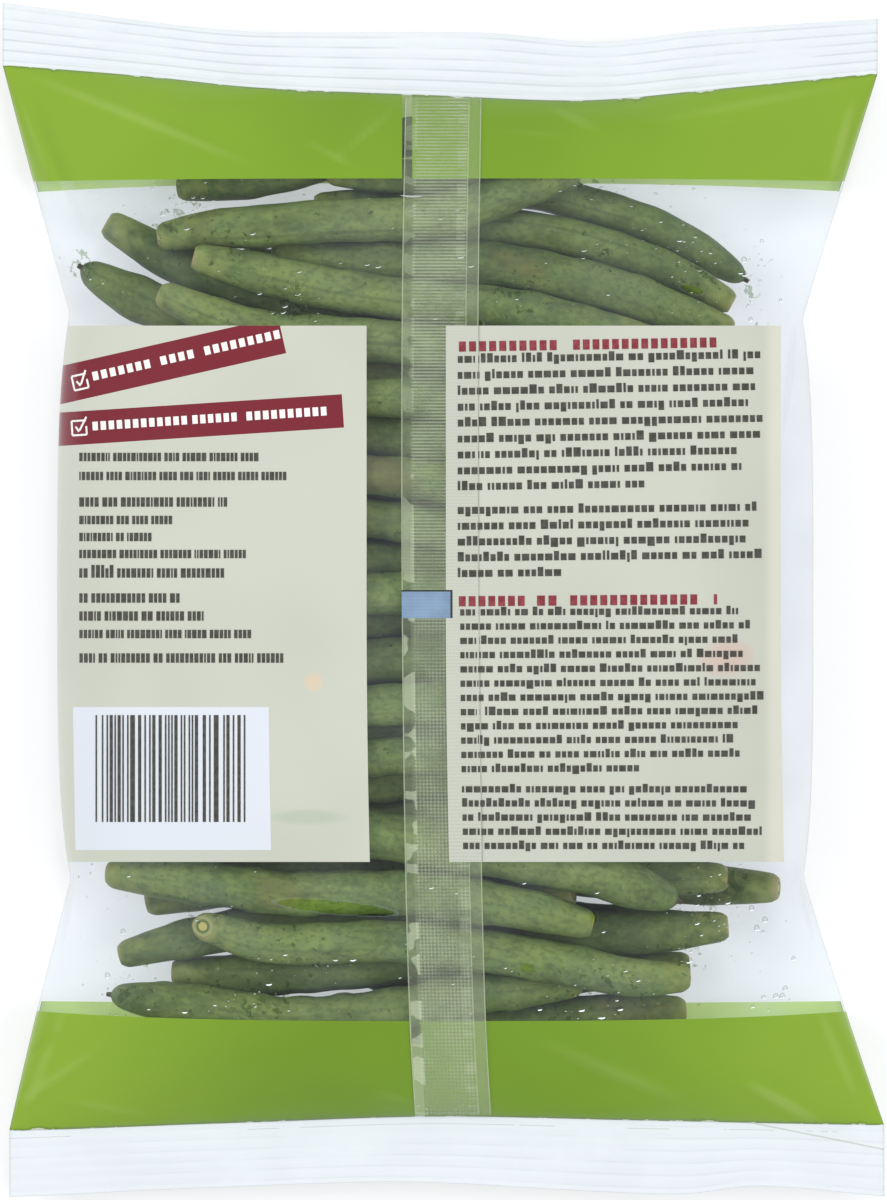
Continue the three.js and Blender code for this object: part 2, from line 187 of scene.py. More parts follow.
def waves(x, y, seed, shortest, longest, count=14):
    """Seeded ripples of unit strength, as a sum of plane waves between two wavelengths in metres."""
    draw = random.Random(seed)
    total = 0
    for _ in range(count):
        heading = draw.uniform(0, math.pi)
        length = draw.uniform(shortest, longest)
        phase = draw.uniform(0, 2 * math.pi)
        along = x * math.cos(heading) + y * math.sin(heading)
        total = total + np.sin(2 * math.pi * along / length + phase)
    return total / math.sqrt(count / 2)


def lerp(a, b, share):
    return a + (b - a) * share


def by_seal(station, pick):
    """A value of the top or the bottom seal, by the sign of the station."""
    return np.where(np.asarray(station) >= 0, pick(TOP_SEAL), pick(BOTTOM_SEAL))


def half_width(station):
    reach = by_seal(station, lambda seal: seal.reach)
    y = np.abs(station) * reach
    beyond = np.clip((y - WAIST_Y) / (reach - WAIST_Y), 0, 1)
    towards_end = lerp(WAIST_HALF_WIDTH, SEAL_HALF_WIDTH, beyond)
    towards_waist = lerp(MIDDLE_HALF_WIDTH, WAIST_HALF_WIDTH, np.minimum(y / WAIST_Y, 1) ** 4)
    return np.where(y > WAIST_Y, towards_end, towards_waist)


def middle_x(station):
    return lerp(MIDDLE_X, by_seal(station, lambda seal: seal.middle_x), np.abs(station) ** 3)


def inner_y(station, x):
    return by_seal(station, lambda seal: seal.inner(x))


def lengthwise_bulge(station):
    return np.maximum(0, 1 - np.abs(station) ** LENGTHWISE_POWER) ** LENGTHWISE_ROUNDING


def crosswise_bulge(across):
    return np.sqrt(np.maximum(0, 1 - np.abs(across) ** CROSSWISE_POWER))


def edge_z(x, station):
    return SIDE_EDGE_Z - CORNER_DROOP * (x / SEAL_HALF_WIDTH) ** 2 * station ** 4


def flutter(x, y, station):
    """How far both faces and the seals wave up and down together, which they do only near the seals."""
    return FLUTTER * np.abs(station) ** 8 * waves(x, 0.2 * y, SEED + 1, 34 * MM, 95 * MM)


def ripples(x, y, face):
    """Soft unevenness of a face."""
    fine = FINE_RIPPLES * waves(x, y, SEED + 2 + face, 14 * MM, 40 * MM)
    return fine + BROAD_RIPPLES * waves(x, y, SEED + 5 + face, 40 * MM, 90 * MM)


def creases(x, y):
    """How far the folds stand out."""
    total = 0
    for start, end, width, height in CREASES:
        (x0, y0), (x1, y1) = np.array([start, end]) * MM
        length = math.hypot(x1 - x0, y1 - y0)
        ux, uy = (x1 - x0) / length, (y1 - y0) / length
        along = np.clip(((x - x0) * ux + (y - y0) * uy) / length, 0, 1)
        aside = (x - x0) * uy - (y - y0) * ux
        profile = np.exp(-((aside / (CREASE_WIDTH_SHARE * width * MM)) ** 2))
        full = CREASE_HEIGHT_SHARE * height * MM
        total = total + full * np.sin(math.pi * along) ** 0.7 * profile
    return total


def puckers(x, y, station):
    """Short gathers that run out of the seals."""
    from_seal = (1 - np.abs(station)) * by_seal(station, lambda seal: seal.reach)
    gathered = waves(x, 0.12 * y, SEED + 11, 6 * MM, 19 * MM)
    return PUCKERS * gathered * np.exp(-from_seal / PUCKER_REACH)


def film_height(x, y, station, across, face, inset):
    """Height of the film's outer face less an inset. Face is 1 on the back and -1 on the underside."""
    bulge = lengthwise_bulge(station) * crosswise_bulge(across)
    slit = SLIT_SHARE * (SEAL_THICKNESS - inset) * np.sqrt(crosswise_bulge(across))
    back = edge_z(x, station) + slit + (TOP_BULGE - inset) * bulge
    under = np.maximum(inset, edge_z(x, station) - slit - (UNDERSIDE_BULGE - inset) * bulge)
    openness = np.minimum(1, 5 * bulge)
    stands_out = openness * (creases(x, y) + ripples(x, y, face) + puckers(x, y, station))
    shared = flutter(x, y, station)
    if face > 0:
        return back + shared + stands_out
    return np.maximum(inset, under + shared - stands_out)


def film_row(station, across, face, inset):
    """Points of one face of the film, at a station and at shares across from 1 on the right to -1."""
    x = middle_x(station) + (half_width(station) - inset) * across
    y = station * inner_y(station, x)
    return np.stack([x, y, film_height(x, y, station, across, face, inset)], axis=-1)


def back_height(x, y):
    """Height of the printed back over a point of the plan."""
    x, y = np.asarray(x, float), np.asarray(y, float)
    station = np.clip(y / inner_y(y, x), -1, 1)
    across = np.clip((x - middle_x(station)) / half_width(station), -1, 1)
    return film_height(x, y, station, across, 1, 0)


# Meshes


def linked(name, data):
    """An object with its data, in the scene."""
    made = bpy.data.objects.new(name, data)
    bpy.context.scene.collection.objects.link(made)
    return made


def new_object(name, points, faces=(), edges=(), material=None):
    mesh = bpy.data.meshes.new(name)
    mesh.from_pydata([tuple(p) for p in points], edges, faces)
    mesh.update()
    for polygon in mesh.polygons:
        polygon.use_smooth = True
    if material:
        mesh.materials.append(material)
    return linked(name, mesh)


def store(mesh, name, values, kind="FLOAT"):
    attribute = mesh.attributes.new(name, kind, "POINT")
    key = "vector" if kind == "FLOAT_VECTOR" else "value"
    attribute.data.foreach_set(key, np.ravel(values).astype(np.float32))


def grid_faces(rows, columns, first=0, closed=False, flipped=False):
    """Quads over a grid of points stored row by row."""
    faces = []
    for row in range(rows - 1):
        for column in range(columns if closed else columns - 1):
            after = (column + 1) % columns
            a = first + row * columns + column
            b = first + row * columns + after
            quad = (a, a + columns, b + columns, b)
            faces.append(quad[::-1] if flipped else quad)
    return faces


def slab(name, upper, lower, material=None):
    """A closed sheet between two grids of points, each an array of rows, columns and 3."""
    rows, columns = upper.shape[:2]
    count = rows * columns
    faces = grid_faces(rows, columns, flipped=True) + grid_faces(rows, columns, first=count)
    rim = [(0, c) for c in range(columns)] + [(r, columns - 1) for r in range(1, rows)]
    rim += [(rows - 1, c) for c in range(columns - 2, -1, -1)] + [(r, 0) for r in range(rows - 2, 0, -1)]
    for (r0, c0), (r1, c1) in zip(rim, rim[1:] + rim[:1]):
        a, b = r0 * columns + c0, r1 * columns + c1
        faces.append((b, a, a + count, b + count))
    points = np.concatenate([upper.reshape(-1, 3), lower.reshape(-1, 3)])
    return new_object(name, points, faces, material=material)


def outward(piece):
    """Turns a closed piece's faces outwards, if they point inwards."""
    mesh = piece.data
    mesh.calc_loop_triangles()
    volume = 0
    for triangle in mesh.loop_triangles:
        a, b, c = (mesh.vertices[i].co for i in triangle.vertices)
        volume += a.dot(b.cross(c))
    if volume < 0:
        mesh.flip_normals()
    return piece


# Node trees


class Wire:
    """A node's output that takes arithmetic: each step adds a Math node, and a comparison gives 1 or 0."""

    def __init__(self, tree, socket):
        self.tree = tree
        self.socket = socket

    def math(self, operation, *values):
        return wire(self.tree, "ShaderNodeMath", dict(enumerate(values)), operation=operation)

    def __add__(self, other):
        return self.math("ADD", self, other)

    def __sub__(self, other):
        return self.math("SUBTRACT", self, other)

    def __rsub__(self, other):
        return self.math("SUBTRACT", other, self)

    def __mul__(self, other):
        return self.math("MULTIPLY", self, other)

    def __truediv__(self, other):
        return self.math("DIVIDE", self, other)

    def __rtruediv__(self, other):
        return self.math("DIVIDE", other, self)

    def __pow__(self, other):
        return self.math("POWER", self, other)

    def __or__(self, other):
        return self.math("MAXIMUM", self, other)

    def __gt__(self, other):
        return self.math("GREATER_THAN", self, other)

    def __lt__(self, other):
        return self.math("LESS_THAN", self, other)

    def __abs__(self):
        return self.math("ABSOLUTE", self)

    __radd__ = __add__
    __rmul__ = __mul__


def node(tree, kind, inputs=None, **settings):
    """Adds a node with its settings, and sets or links its inputs by place, name or identifier."""
    made = tree.nodes.new(kind)
    for name, value in settings.items():
        setattr(made, name, value)
    for key, value in (inputs or {}).items():
        if isinstance(key, int) or key in made.inputs:
            socket = made.inputs[key]
        else:
            socket = next(s for s in made.inputs if s.identifier == key)
        if isinstance(value, Wire):
            tree.links.new(value.socket, socket)
        else:
            socket.default_value = value
    return made


def wire(tree, kind, inputs=None, output=0, **settings):
    """Adds a node and gives one of its outputs."""
    return Wire(tree, node(tree, kind, inputs, **settings).outputs[output])


def mix(share, a, b):
    return wire(share.tree, "ShaderNodeMix", {"Factor_Float": share, "A_Float": a, "B_Float": b})


def mix_colour(share, a, b):
    """Two colours mixed by a wire, each a wire or plain."""
    inputs = {"Factor_Float": share}
    for key, value in (("A_Color", a), ("B_Color", b)):
        inputs[key] = value if isinstance(value, Wire) else (*value, 1)
    made = node(share.tree, "ShaderNodeMix", inputs, data_type="RGBA")
    return Wire(share.tree, next(s for s in made.outputs if s.identifier == "Result_Color"))


def mix_shader(share, first, second):
    return wire(first.tree, "ShaderNodeMixShader", {0: share, 1: first, 2: second})


def vector(tree, x=0.0, y=0.0, z=0.0):
    return wire(tree, "ShaderNodeCombineXYZ", {0: x, 1: y, 2: z})


def split(place):
    """The three parts of a vector."""
    parts = node(place.tree, "ShaderNodeSeparateXYZ", {0: place}).outputs
    return [Wire(place.tree, part) for part in parts]


def vector_math(operation, first, second):
    key = 3 if operation == "SCALE" else 1
    return wire(first.tree, "ShaderNodeVectorMath", {0: first, key: second}, operation=operation)


def mapped(value, low, high, to_low=0.0, to_high=1.0, smooth=True):
    """A value from low to high as one between two others, and level beyond them."""
    inputs = {"Value": value, "From Min": low, "From Max": high, "To Min": to_low, "To Max": to_high}
    kind = "SMOOTHSTEP" if smooth else "LINEAR"
    return wire(value.tree, "ShaderNodeMapRange", inputs, interpolation_type=kind)


def between(value, low, high):
    """1 where a value lies between two others."""
    return (value > low) * (value < high)


def noise(place, scale, detail=2.0, roughness=0.5):
    inputs = {"Vector": place, "Scale": scale, "Detail": detail, "Roughness": roughness}
    return wire(place.tree, "ShaderNodeTexNoise", inputs, "Fac")


def sine(turn, operation="SINE"):
    return turn.math(operation, turn)


def new_material(name):
    """An empty node material and its tree."""
    material = bpy.data.materials.new(name)
    material.use_nodes = True
    material.node_tree.nodes.clear()
    return material, material.node_tree


def show(material, shader):
    """Makes a shader the material's surface."""
    node(material.node_tree, "ShaderNodeOutputMaterial", {0: shader})
    return material


def attribute(tree, name, output="Fac"):
    """What a mesh stores, read in a material."""
    return wire(tree, "ShaderNodeAttribute", output=output, attribute_name=name)


def object_place(tree):
    return wire(tree, "ShaderNodeTexCoord", output="Object")


def clear_shader(tree, colour=(1, 1, 1)):
    colour = colour if isinstance(colour, Wire) else (*colour, 1)
    return wire(tree, "ShaderNodeBsdfTransparent", {"Color": colour})


def principled(tree, colour, roughness, **more):
    """The usual surface, of a colour and a roughness. More inputs are named with _ for a space."""
    inputs = {"Base Color": colour, "Roughness": roughness}
    inputs.update({name.replace("_", " "): value for name, value in more.items()})
    return wire(tree, "ShaderNodeBsdfPrincipled", inputs)


def bump(tree, height, distance):
    return wire(tree, "ShaderNodeBump", {"Strength": 0.4, "Distance": distance, "Height": height})


def from_srgb(r, g, b):
    """A colour seen as 0 to 255 in the picture, as the shader's own numbers."""
    return tuple((v / 255 / 12.92) if v <= 10 else ((v / 255 + 0.055) / 1.055) ** 2.4 for v in (r, g, b))


def toned(colour, factor):
    return tuple(min(1, factor * part) for part in colour)


def new_tree(name, sockets):
    """A Geometry Nodes tree with a geometry and named inputs, which come back as wires by name."""
    tree = bpy.data.node_groups.new(name, "GeometryNodeTree")
    tree.interface.new_socket("Geometry", in_out="OUTPUT", socket_type="NodeSocketGeometry")
    for label, kind, value in [("Geometry", "Geometry", None), *sockets, ("Material", "Material", None)]:
        socket = tree.interface.new_socket(label, in_out="INPUT", socket_type="NodeSocket" + kind)
        if value is not None:
            socket.default_value = value
    entry = node(tree, "NodeGroupInput")
    return tree, {output.name: Wire(tree, output) for output in entry.outputs}


def finished(tree, geometry, material):
    """Ends a tree: its geometry as a real mesh with the material."""
    real = wire(tree, "GeometryNodeRealizeInstances", {"Geometry": geometry})
    done = wire(tree, "GeometryNodeSetMaterial", {"Geometry": real, "Material": material})
    node(tree, "NodeGroupOutput", {0: done})
    return tree


def moved(geometry, **inputs):
    return wire(geometry.tree, "GeometryNodeSetPosition", {"Geometry": geometry, **inputs})


def run_tree(piece, tree, values):
    """Runs a Geometry Nodes tree on a piece and keeps what comes out as its plain mesh."""
    modifier = piece.modifiers.new(tree.name, "NODES")
    modifier.node_group = tree
    keys = {s.name: s.identifier for s in tree.interface.items_tree if s.in_out == "INPUT"}
    for label, value in values.items():
        modifier[keys[label]] = value
    bpy.context.view_layer.update()
    depsgraph = bpy.context.evaluated_depsgraph_get()
    made = bpy.data.meshes.new_from_object(
        piece.evaluated_get(depsgraph), preserve_all_data_layers=True, depsgraph=depsgraph
    )
    before = piece.data
    piece.modifiers.clear()
    piece.data = made
    made.name = piece.name
    bpy.data.meshes.remove(before)
    return piece


def named(tree, name, kind="FLOAT"):
    """What a mesh stores, read in a Geometry Nodes tree."""
    return wire(tree, "GeometryNodeInputNamedAttribute", {"Name": name}, data_type=kind)


def stored(geometry, name, value, kind="FLOAT"):
    inputs = {"Geometry": geometry, "Name": name, "Value": value}
    return wire(geometry.tree, "GeometryNodeStoreNamedAttribute", inputs, data_type=kind, domain="POINT")


# Print on the film

# Where the print lies, in millimetres at the height of its edges. What lies nearer the eye looks larger, so
# the places on the rising film count from the middle as an eye at the camera's height sees them.
EYE_HEIGHT = 2211
EYE_DISTANCE = 2200
BEND_HALF_WIDTH = 84.0
BACK_BANDS = (-88.1, 88.2)
FRONT_BANDS = (-84.3, 87.2)
LEFT_PANEL = (-90, -16.1)
RIGHT_PANEL = (0.5, 70.6)
PANEL_Y = (-54.8, 57.4)
FIN_LEFT = -8.65
BARE_STRIP = 2.1
LEAN = 0.00023
CODE_BOX = (-77.6, -36.7, -52.3, -22.4)

# The banners' upper and lower edge at their left end, that end, their slope and their right end
BANNERS = [(49.3, 41.3, -78.5, 0.227, -31.4), (39.3, 32.3, -79.0, 0.065, -21.4)]
BANNER_ENDS_FROM = 45.0

# The label of the underside and its stripe
FRONT_LABEL = (-46, 44, -48, 50)
FRONT_STRIPE = (26.0, 44.0)

# Rows without any print on either face, the lower ones first
CLEAR_ROWS = ((-81.5, -57.5), (61.0, 84.0))

# Where the film clings to a wet bean: middle, half length and half width in millimetres, turn in degrees
WET_PATCHES = [
    (-22.8, -64.3, 13.6, 1.45, -5.5),
    (17.6, -77.0, 1.75, 1.15, -8.0),
    (4.5, 58.6, 4.2, 1.3, -12.0),
    (52.0, 65.0, 2.6, 1.0, -15.0),
    (31.3, -66.4, 0.9, 1.5, 12.0),
]

# Faint stains that show through the panels: place as above, colour and strength
STAINS = [
    ((59.2, -12.1, 7.0, 4.6, 10.0), (226, 150, 140), 0.3),
    ((-27.2, -17.2, 2.4, 2.4, 0.0), (238, 202, 160), 0.45),
    ((-28.5, -45.4, 9.5, 2.0, 0.0), (168, 186, 160), 0.45),
]


def as_seen(place):
    """The place across and along the bag in millimetres, widened by how near the eye the film is."""
    in_mm = vector_math("SCALE", place, 1000.0)
    nearness = EYE_DISTANCE / (EYE_HEIGHT - split(in_mm)[2])
    return split(vector_math("SCALE", in_mm, nearness))[:2]


def leaning(x, y):
    """The place across the bag less the lean of its back seam, which grows towards the bottom."""
    return x - abs(y.math("MINIMUM", y, 0.0)) ** 2.0 * LEAN


def bands(x, y, limits, rise, fall):
    """The printed ends beyond two limits that bend up or down by some millimetres at the side edges."""
    outwards = abs(x / BEND_HALF_WIDTH) ** 3.0
    return (y < outwards * rise + limits[0]) | (y > outwards * fall + limits[1])


def banner(x, y, upper, lower, left, slope, right):
    """A slanted strip given by its upper and lower edge at its left end."""
    straightened = y - (x - left) * slope
    return between(straightened, lower, upper) * (x + (y - BANNER_ENDS_FROM) * slope < right)


def print_masks(place):
    """The places of each ink on the film: green bands and cream panels with what is on them."""
    seen_x, y = as_seen(place)
    x = leaning(seen_x, y)
    back = attribute(place.tree, "back") > 0.5
    front = 1.0 - back
    bare = between(x, FIN_LEFT, FIN_LEFT + BARE_STRIP)
    back_bands = back * bands(seen_x, y, BACK_BANDS, 2.0, -0.6) * (1.0 - bare)
    panels = back * between(y, *PANEL_Y) * (between(x, *LEFT_PANEL) | between(x, *RIGHT_PANEL))
    label = front * between(seen_x, *FRONT_LABEL[:2])
    banners = panels * (banner(x, y, *BANNERS[0]) | banner(x, y, *BANNERS[1]))
    return {
        "bands": back_bands | front * bands(seen_x, y, FRONT_BANDS, 0.4, -1.8),
        "panels": panels | label * between(y, *FRONT_LABEL[2:]),
        "banners": banners | label * between(y, *FRONT_STRIPE),
        "code_box": panels * between(x, *CODE_BOX[:2]) * between(y, *CODE_BOX[2:]),
    }


def ellipse(x, y, patch):
    """How far out a place is from an oval's middle, squared, with 1 on its rim."""
    middle_x, middle_y, half_length, half_width, degrees = patch
    cos, sin = math.cos(math.radians(degrees)), math.sin(math.radians(degrees))
    dx, dy = x - middle_x, y - middle_y
    along = dx * (cos / half_length) + dy * (sin / half_length)
    aside = dy * (cos / half_width) - dx * (sin / half_width)
    return along * along + aside * aside


def band_ink(settings, place, x, y):
    """Green of the bands: cloudy, paler at the sides as painted light coming through the ink, darker in the
    middle of the lower band as painted shade, with a painted highlight and shade along the creases, ragged at
    the seals.
    """
    tree, band = place.tree, settings.band_colour
    colour = mix_colour(mapped(noise(place, 22.0), 0.3, 0.75), toned(band, 0.93), toned(band, 1.05))
    # Painted light: the bands are painted paler towards the side edges, where light comes through the ink.
    paler = mapped(abs(x), 20.0, 86.0) * mapped(y, -90.0, 90.0, 0.5, 0.42)
    colour = mix_colour(paler, colour, settings.backlit_side_band_colour)
    # Painted shade: the lower band is painted darker in its middle.
    lower = (y < 0.0) * mapped(abs(x), 80.0, 20.0, 0.0, 0.16)
    colour = mix_colour(lower, colour, toned(band, 0.55))
    # Painted highlight on raised creases and painted shade in their furrows.
    ridge = attribute(tree, "ridge")
    colour = mix_colour(mapped(ridge, 0.12, 1.0, 0.0, 0.2), colour, settings.crease_colour)
    colour = mix_colour(mapped(ridge, -0.12, -1.0, 0.0, 0.2), colour, toned(band, 0.6))
    stretched = vector_math("MULTIPLY", place, (1.0, 0.3, 1.0))
    notch = mapped(noise(stretched, 90.0, 4.0, 0.75), 0.5, 0.85, -0.0001, 0.0013, smooth=False)
    past_notch = attribute(tree, "from_seal") - notch
    colour = mix_colour(mapped(past_notch, 0.0006, 0.0002, 0.0, 0.3), colour, toned(band, 0.3))
    return mix_colour(past_notch < 0.0, colour, from_srgb(226, 234, 214))


def panel_ink(settings, place, x, y):
    """Cream of the panels, a little uneven, darker on the right one but for its edge, and stained."""
    panel = settings.panel_colour
    cream = mix_colour(mapped(noise(place, 30.0, 1.0), 0.35, 0.72), panel, toned(panel, 0.95))
    cream = mix_colour(mapped(x, 0.0, 12.0, 0.0, 0.03), cream, (0.2, 0.2, 0.22))
    cream = mix_colour(mapped(x, 66.5, 69.5, 0.0, 0.75), cream, from_srgb(226, 225, 209))
    for patch, stain, strength in STAINS:
        stained = mapped(ellipse(x, y, patch), 1.0, 0.1, 0.0, strength)
        cream = mix_colour(stained, cream, from_srgb(*stain))
    return cream


def film_material(name, settings, inside=False, printed=True):
    """Clear film with its print. The inside shows the ink paler and glowing, painted light that stands in for
    light from the white under it coming through the print.
    """
    material, tree = new_material(name)
    place = object_place(tree)
    x, y = as_seen(place)
    # Painted shade: a greyer haze along the folds stands in for the shade they catch.
    folded = mapped(abs(attribute(tree, "ridge")), 0.25, 0.7)
    colour = mix_colour(folded, settings.haze_colour, settings.fold_shade_colour)
    if printed:
        masks = print_masks(place)
        inked = masks["bands"] | masks["panels"]
        if inside:
            ink = mix_colour(masks["panels"], settings.backlit_inner_band_colour, settings.panel_colour)
        else:
            green, cream = band_ink(settings, place, x, y), panel_ink(settings, place, x, y)
            ink = mix_colour(masks["panels"], green, cream)
        ink = mix_colour(masks["banners"], ink, settings.banner_colour)
        ink = mix_colour(masks["code_box"], ink, settings.code_box_colour)
        colour = mix_colour(inked, colour, ink)
    if inside:
        # Painted light: the inside print glows with its own colour and its bands are painted paler, standing
        # in for light that comes through the print.
        glow = {"Emission_Color": colour, "Emission_Strength": settings.glow}
        film = principled(tree, colour, 0.3, IOR=FILM_IOR, **glow)
        return show(material, mix_shader(inked * settings.ink_cover, clear_shader(tree), film))
    film = principled(tree, colour, 0.3, IOR=FILM_IOR)
    contact = attribute(tree, "contact")
    fog = mapped(noise(place, 48.0, 1.0), 0.34, 0.7, 0.55 * settings.haze, 1.45 * settings.haze)
    haze = fog * mapped(contact, 0.0, 1.0, 1.0, 0.38) | folded * 0.22
    ragged = noise(place, 480.0, 3.0, 0.6)
    wetted = mapped(attribute(tree, "damp") * 0.13 + ragged, 0.66, 0.74)
    wetted = wetted * mapped(contact, 0.85, 1.0) * 0.6
    tint = mix_colour(wetted, settings.film_tint, from_srgb(120, 150, 90))
    for patch in WET_PATCHES:
        if (CLEAR_ROWS[0][1] < patch[1] < CLEAR_ROWS[1][0]) == printed:
            off = ragged * 0.9 + ellipse(x, y, patch)
            within = mapped(off, 1.45, 1.3)
            rim = between(off, 1.3, 1.5) * 0.07
            haze = haze * mapped(within, 0.0, 1.0, 1.0, 0.1, smooth=False) + rim
            tint = mix_colour(within, tint, from_srgb(242, 254, 206))
    solid = mix(inked, haze, settings.ink_cover) if printed else haze
    body = mix_shader(solid, clear_shader(tree, tint), film)
    shine = wire(tree, "ShaderNodeBsdfGlossy", {"Roughness": 0.12})
    facing = wire(tree, "ShaderNodeLayerWeight", {"Blend": 0.5}, "Facing")
    mirrored = mapped(facing ** 4.0, 0.0, 1.0, settings.gloss, 0.3, smooth=False)
    return show(material, mix_shader(mirrored * (1.0 - inked) if printed else mirrored, body, shine))


def clear_inside(name):
    """The inner side of clear film, which only lets light through."""
    material, tree = new_material(name)
    return show(material, clear_shader(tree))


def ink_material(name, colour):
    """Ink under the film's own gloss, a little uneven."""
    material, tree = new_material(name)
    uneven = mapped(noise(object_place(tree), 900.0), 0.35, 0.7)
    shade = mix_colour(uneven, colour, [min(1, 1.25 * part + 0.02) for part in colour])
    return show(material, principled(tree, shade, 0.3))


# Film tube

FILM_ROWS = 170
BACK_COLUMNS = 168
UNDER_COLUMNS = 92
FILM_WALL = 0.14 * MM
CONTACT_FROM = 15 * MM
CONTACT_TO = 7 * MM
FULL_RIDGE = 0.5 * MM
DAMP_SPREAD = 1.3

# Where drops gather: a middle and a reach in millimetres, and how densely
DAMP_SPOTS = [
    (62.9, 72.4, 4, 1.0), (64.7, 65.9, 4, 1.0), (53.7, 69.2, 5, 1.3), (51, 76.4, 4, 1.0),
    (47.8, 86.2, 5, 0.7), (39.9, 81, 4, 0.8), (28.8, 85.5, 6, 0.7), (15.8, 64.6, 4, 1.2),
    (32.7, 72.8, 3, 0.9), (-53.7, 83.6, 5, 0.6), (-42.5, 73.7, 4, 1.0), (-75.5, 70.5, 3, 1.3),
    (-69.3, 79.6, 3, 0.8), (-31.3, 60.7, 4, 1.0), (-56.2, 78.3, 4, 0.7), (57.6, -60, 5, 1.4),
    (59.5, -64.6, 4, 1.3), (62.8, -71.8, 4, 1.2), (49.7, -73.6, 3, 1.0), (36.7, -81, 6, 1.0),
    (-35.3, -84.9, 8, 0.7), (-33.3, -70.3, 3, 0.8), (-45, -84.9, 5, 0.7), (-65.4, -81, 4, 1.1),
    (70, -84.9, 3, 0.8), (24.9, -84.5, 4, 0.9), (-27.4, -74.8, 3, 0.9), (-50, -66, 3, 0.8),
]


def dampness(x, y):
    """How densely drops gather at a place of the plan."""
    total = np.zeros(np.shape(x))
    for middle_x, middle_y, reach, weight in DAMP_SPOTS:
        away = (x - middle_x * MM) ** 2 + (y - middle_y * MM) ** 2
        away = away / (DAMP_SPREAD * reach * MM) ** 2
        total = total + weight * np.exp(-away)
    return total


def closing_in(count, share):
    """Places from -1 to 1 that come closer together towards both ends, by a share."""
    even = np.linspace(-1, 1, count)
    return lerp(even, np.sin(math.pi / 2 * even), share)


def film_ring(station, inset):
    back = film_row(station, -closing_in(BACK_COLUMNS, 0.5), 1, inset)
    under = film_row(station, closing_in(UNDER_COLUMNS, 0.5)[1:-1], -1, inset)
    return np.concatenate([back, under])


def bean_tree(beans):
    """A search tree over all the beans' faces."""
    points, faces = [], []
    for bean in beans:
        first = len(points)
        points.extend(v.co.copy() for v in bean.data.vertices)
        faces.extend(tuple(first + i for i in p.vertices) for p in bean.data.polygons)
    return BVHTree.FromPolygons(points, faces)


def build_film(settings, beans):
    stations = closing_in(FILM_ROWS, 0.4)
    outer = np.array([film_ring(s, 0.0) for s in stations])
    inner = np.array([film_ring(s, FILM_WALL) for s in stations])
    rows, columns = outer.shape[:2]
    count = rows * columns
    faces = grid_faces(rows, columns, closed=True)
    outer_faces = len(faces)
    faces += grid_faces(rows, columns, first=count, closed=True, flipped=True)
    for row in (0, rows - 1):
        for column in range(columns):
            a = row * columns + column
            b = row * columns + (column + 1) % columns
            quad = (a, b, b + count, a + count)
            faces.append(quad if row == 0 else quad[::-1])
    film = new_object("film", np.concatenate([outer.reshape(-1, 3), inner.reshape(-1, 3)]), faces)
    for material in (
        film_material("film_outside", settings),
        film_material("film_inside", settings, inside=True),
        film_material("film_clear", settings, printed=False),
        clear_inside("film_clear_inside"),
    ):
        film.data.materials.append(material)
    kinds = np.zeros(len(faces), np.int32)
    kinds[outer_faces:2 * outer_faces] = 1
    heights = np.concatenate([outer[..., 1].ravel(), inner[..., 1].ravel()])[np.array(faces)] / MM
    for low, high in CLEAR_ROWS:
        kinds[((heights > low) & (heights < high)).all(axis=1)] += 2
    film.data.polygons.foreach_set("material_index", kinds)
    on_back = np.zeros(columns)
    on_back[:BACK_COLUMNS] = 1
    store(film.data, "back", np.tile(on_back, 2 * rows))
    search = bean_tree(beans)
    contact = np.zeros((rows, columns))
    for row in range(rows):
        for column in range(BACK_COLUMNS):
            found = search.find_nearest(Vector(outer[row, column]), CONTACT_FROM)
            if found[3] is not None:
                closeness = (CONTACT_FROM - found[3]) / (CONTACT_FROM - CONTACT_TO)
                contact[row, column] = np.clip(closeness, 0, 1)
    from_seal = (1 - np.abs(stations)) * by_seal(stations, lambda seal: seal.reach)
    for name, values in (
        ("contact", contact),
        ("ridge", creases(outer[..., 0], outer[..., 1]) / FULL_RIDGE * on_back),
        ("from_seal", np.repeat(from_seal, columns)),
        ("damp", dampness(outer[..., 0], outer[..., 1]) * on_back),
    ):
        store(film.data, name, np.tile(values.ravel(), 2))
    return outward(film)


# End seals

CRIMP_COUNT = 6
SEAL_COLUMNS = 260
SEAL_ROWS = 66
SEAL_LAP = 0.2 * MM
SEAL_HALF_WALL = 0.22 * MM
SEAL_WAVE = 0.35 * MM
TOP_RIBS = 0.12 * MM
BOTTOM_RIBS = 0.06 * MM

# The slanting edge of a loose flap at the bottom seal's right end, in millimetres
FLAP_FROM = 61.0
FLAP_SLOPE = 0.206
FLAP_Y = 108.6


def crimp_tree():
    """Presses ribs across a seal, by the share of its depth that each point stores."""
    tree, entry = new_tree("Crimp ribs", [("Ribs", "Float", 6.0), ("Height", "Float", 0.0002)])
    depth = named(tree, "depth")
    wave = sine(depth * entry["Ribs"] * (2 * math.pi), "COSINE")
    uneven = mapped(noise(wire(tree, "GeometryNodeInputPosition"), 45.0), 0.3, 0.7, 0.35, 1.0)
    rise = wave * mapped(depth, 0.02, 0.12) * uneven * entry["Height"]
    return finished(tree, moved(entry["Geometry"], Offset=vector(tree, z=rise)), entry["Material"])


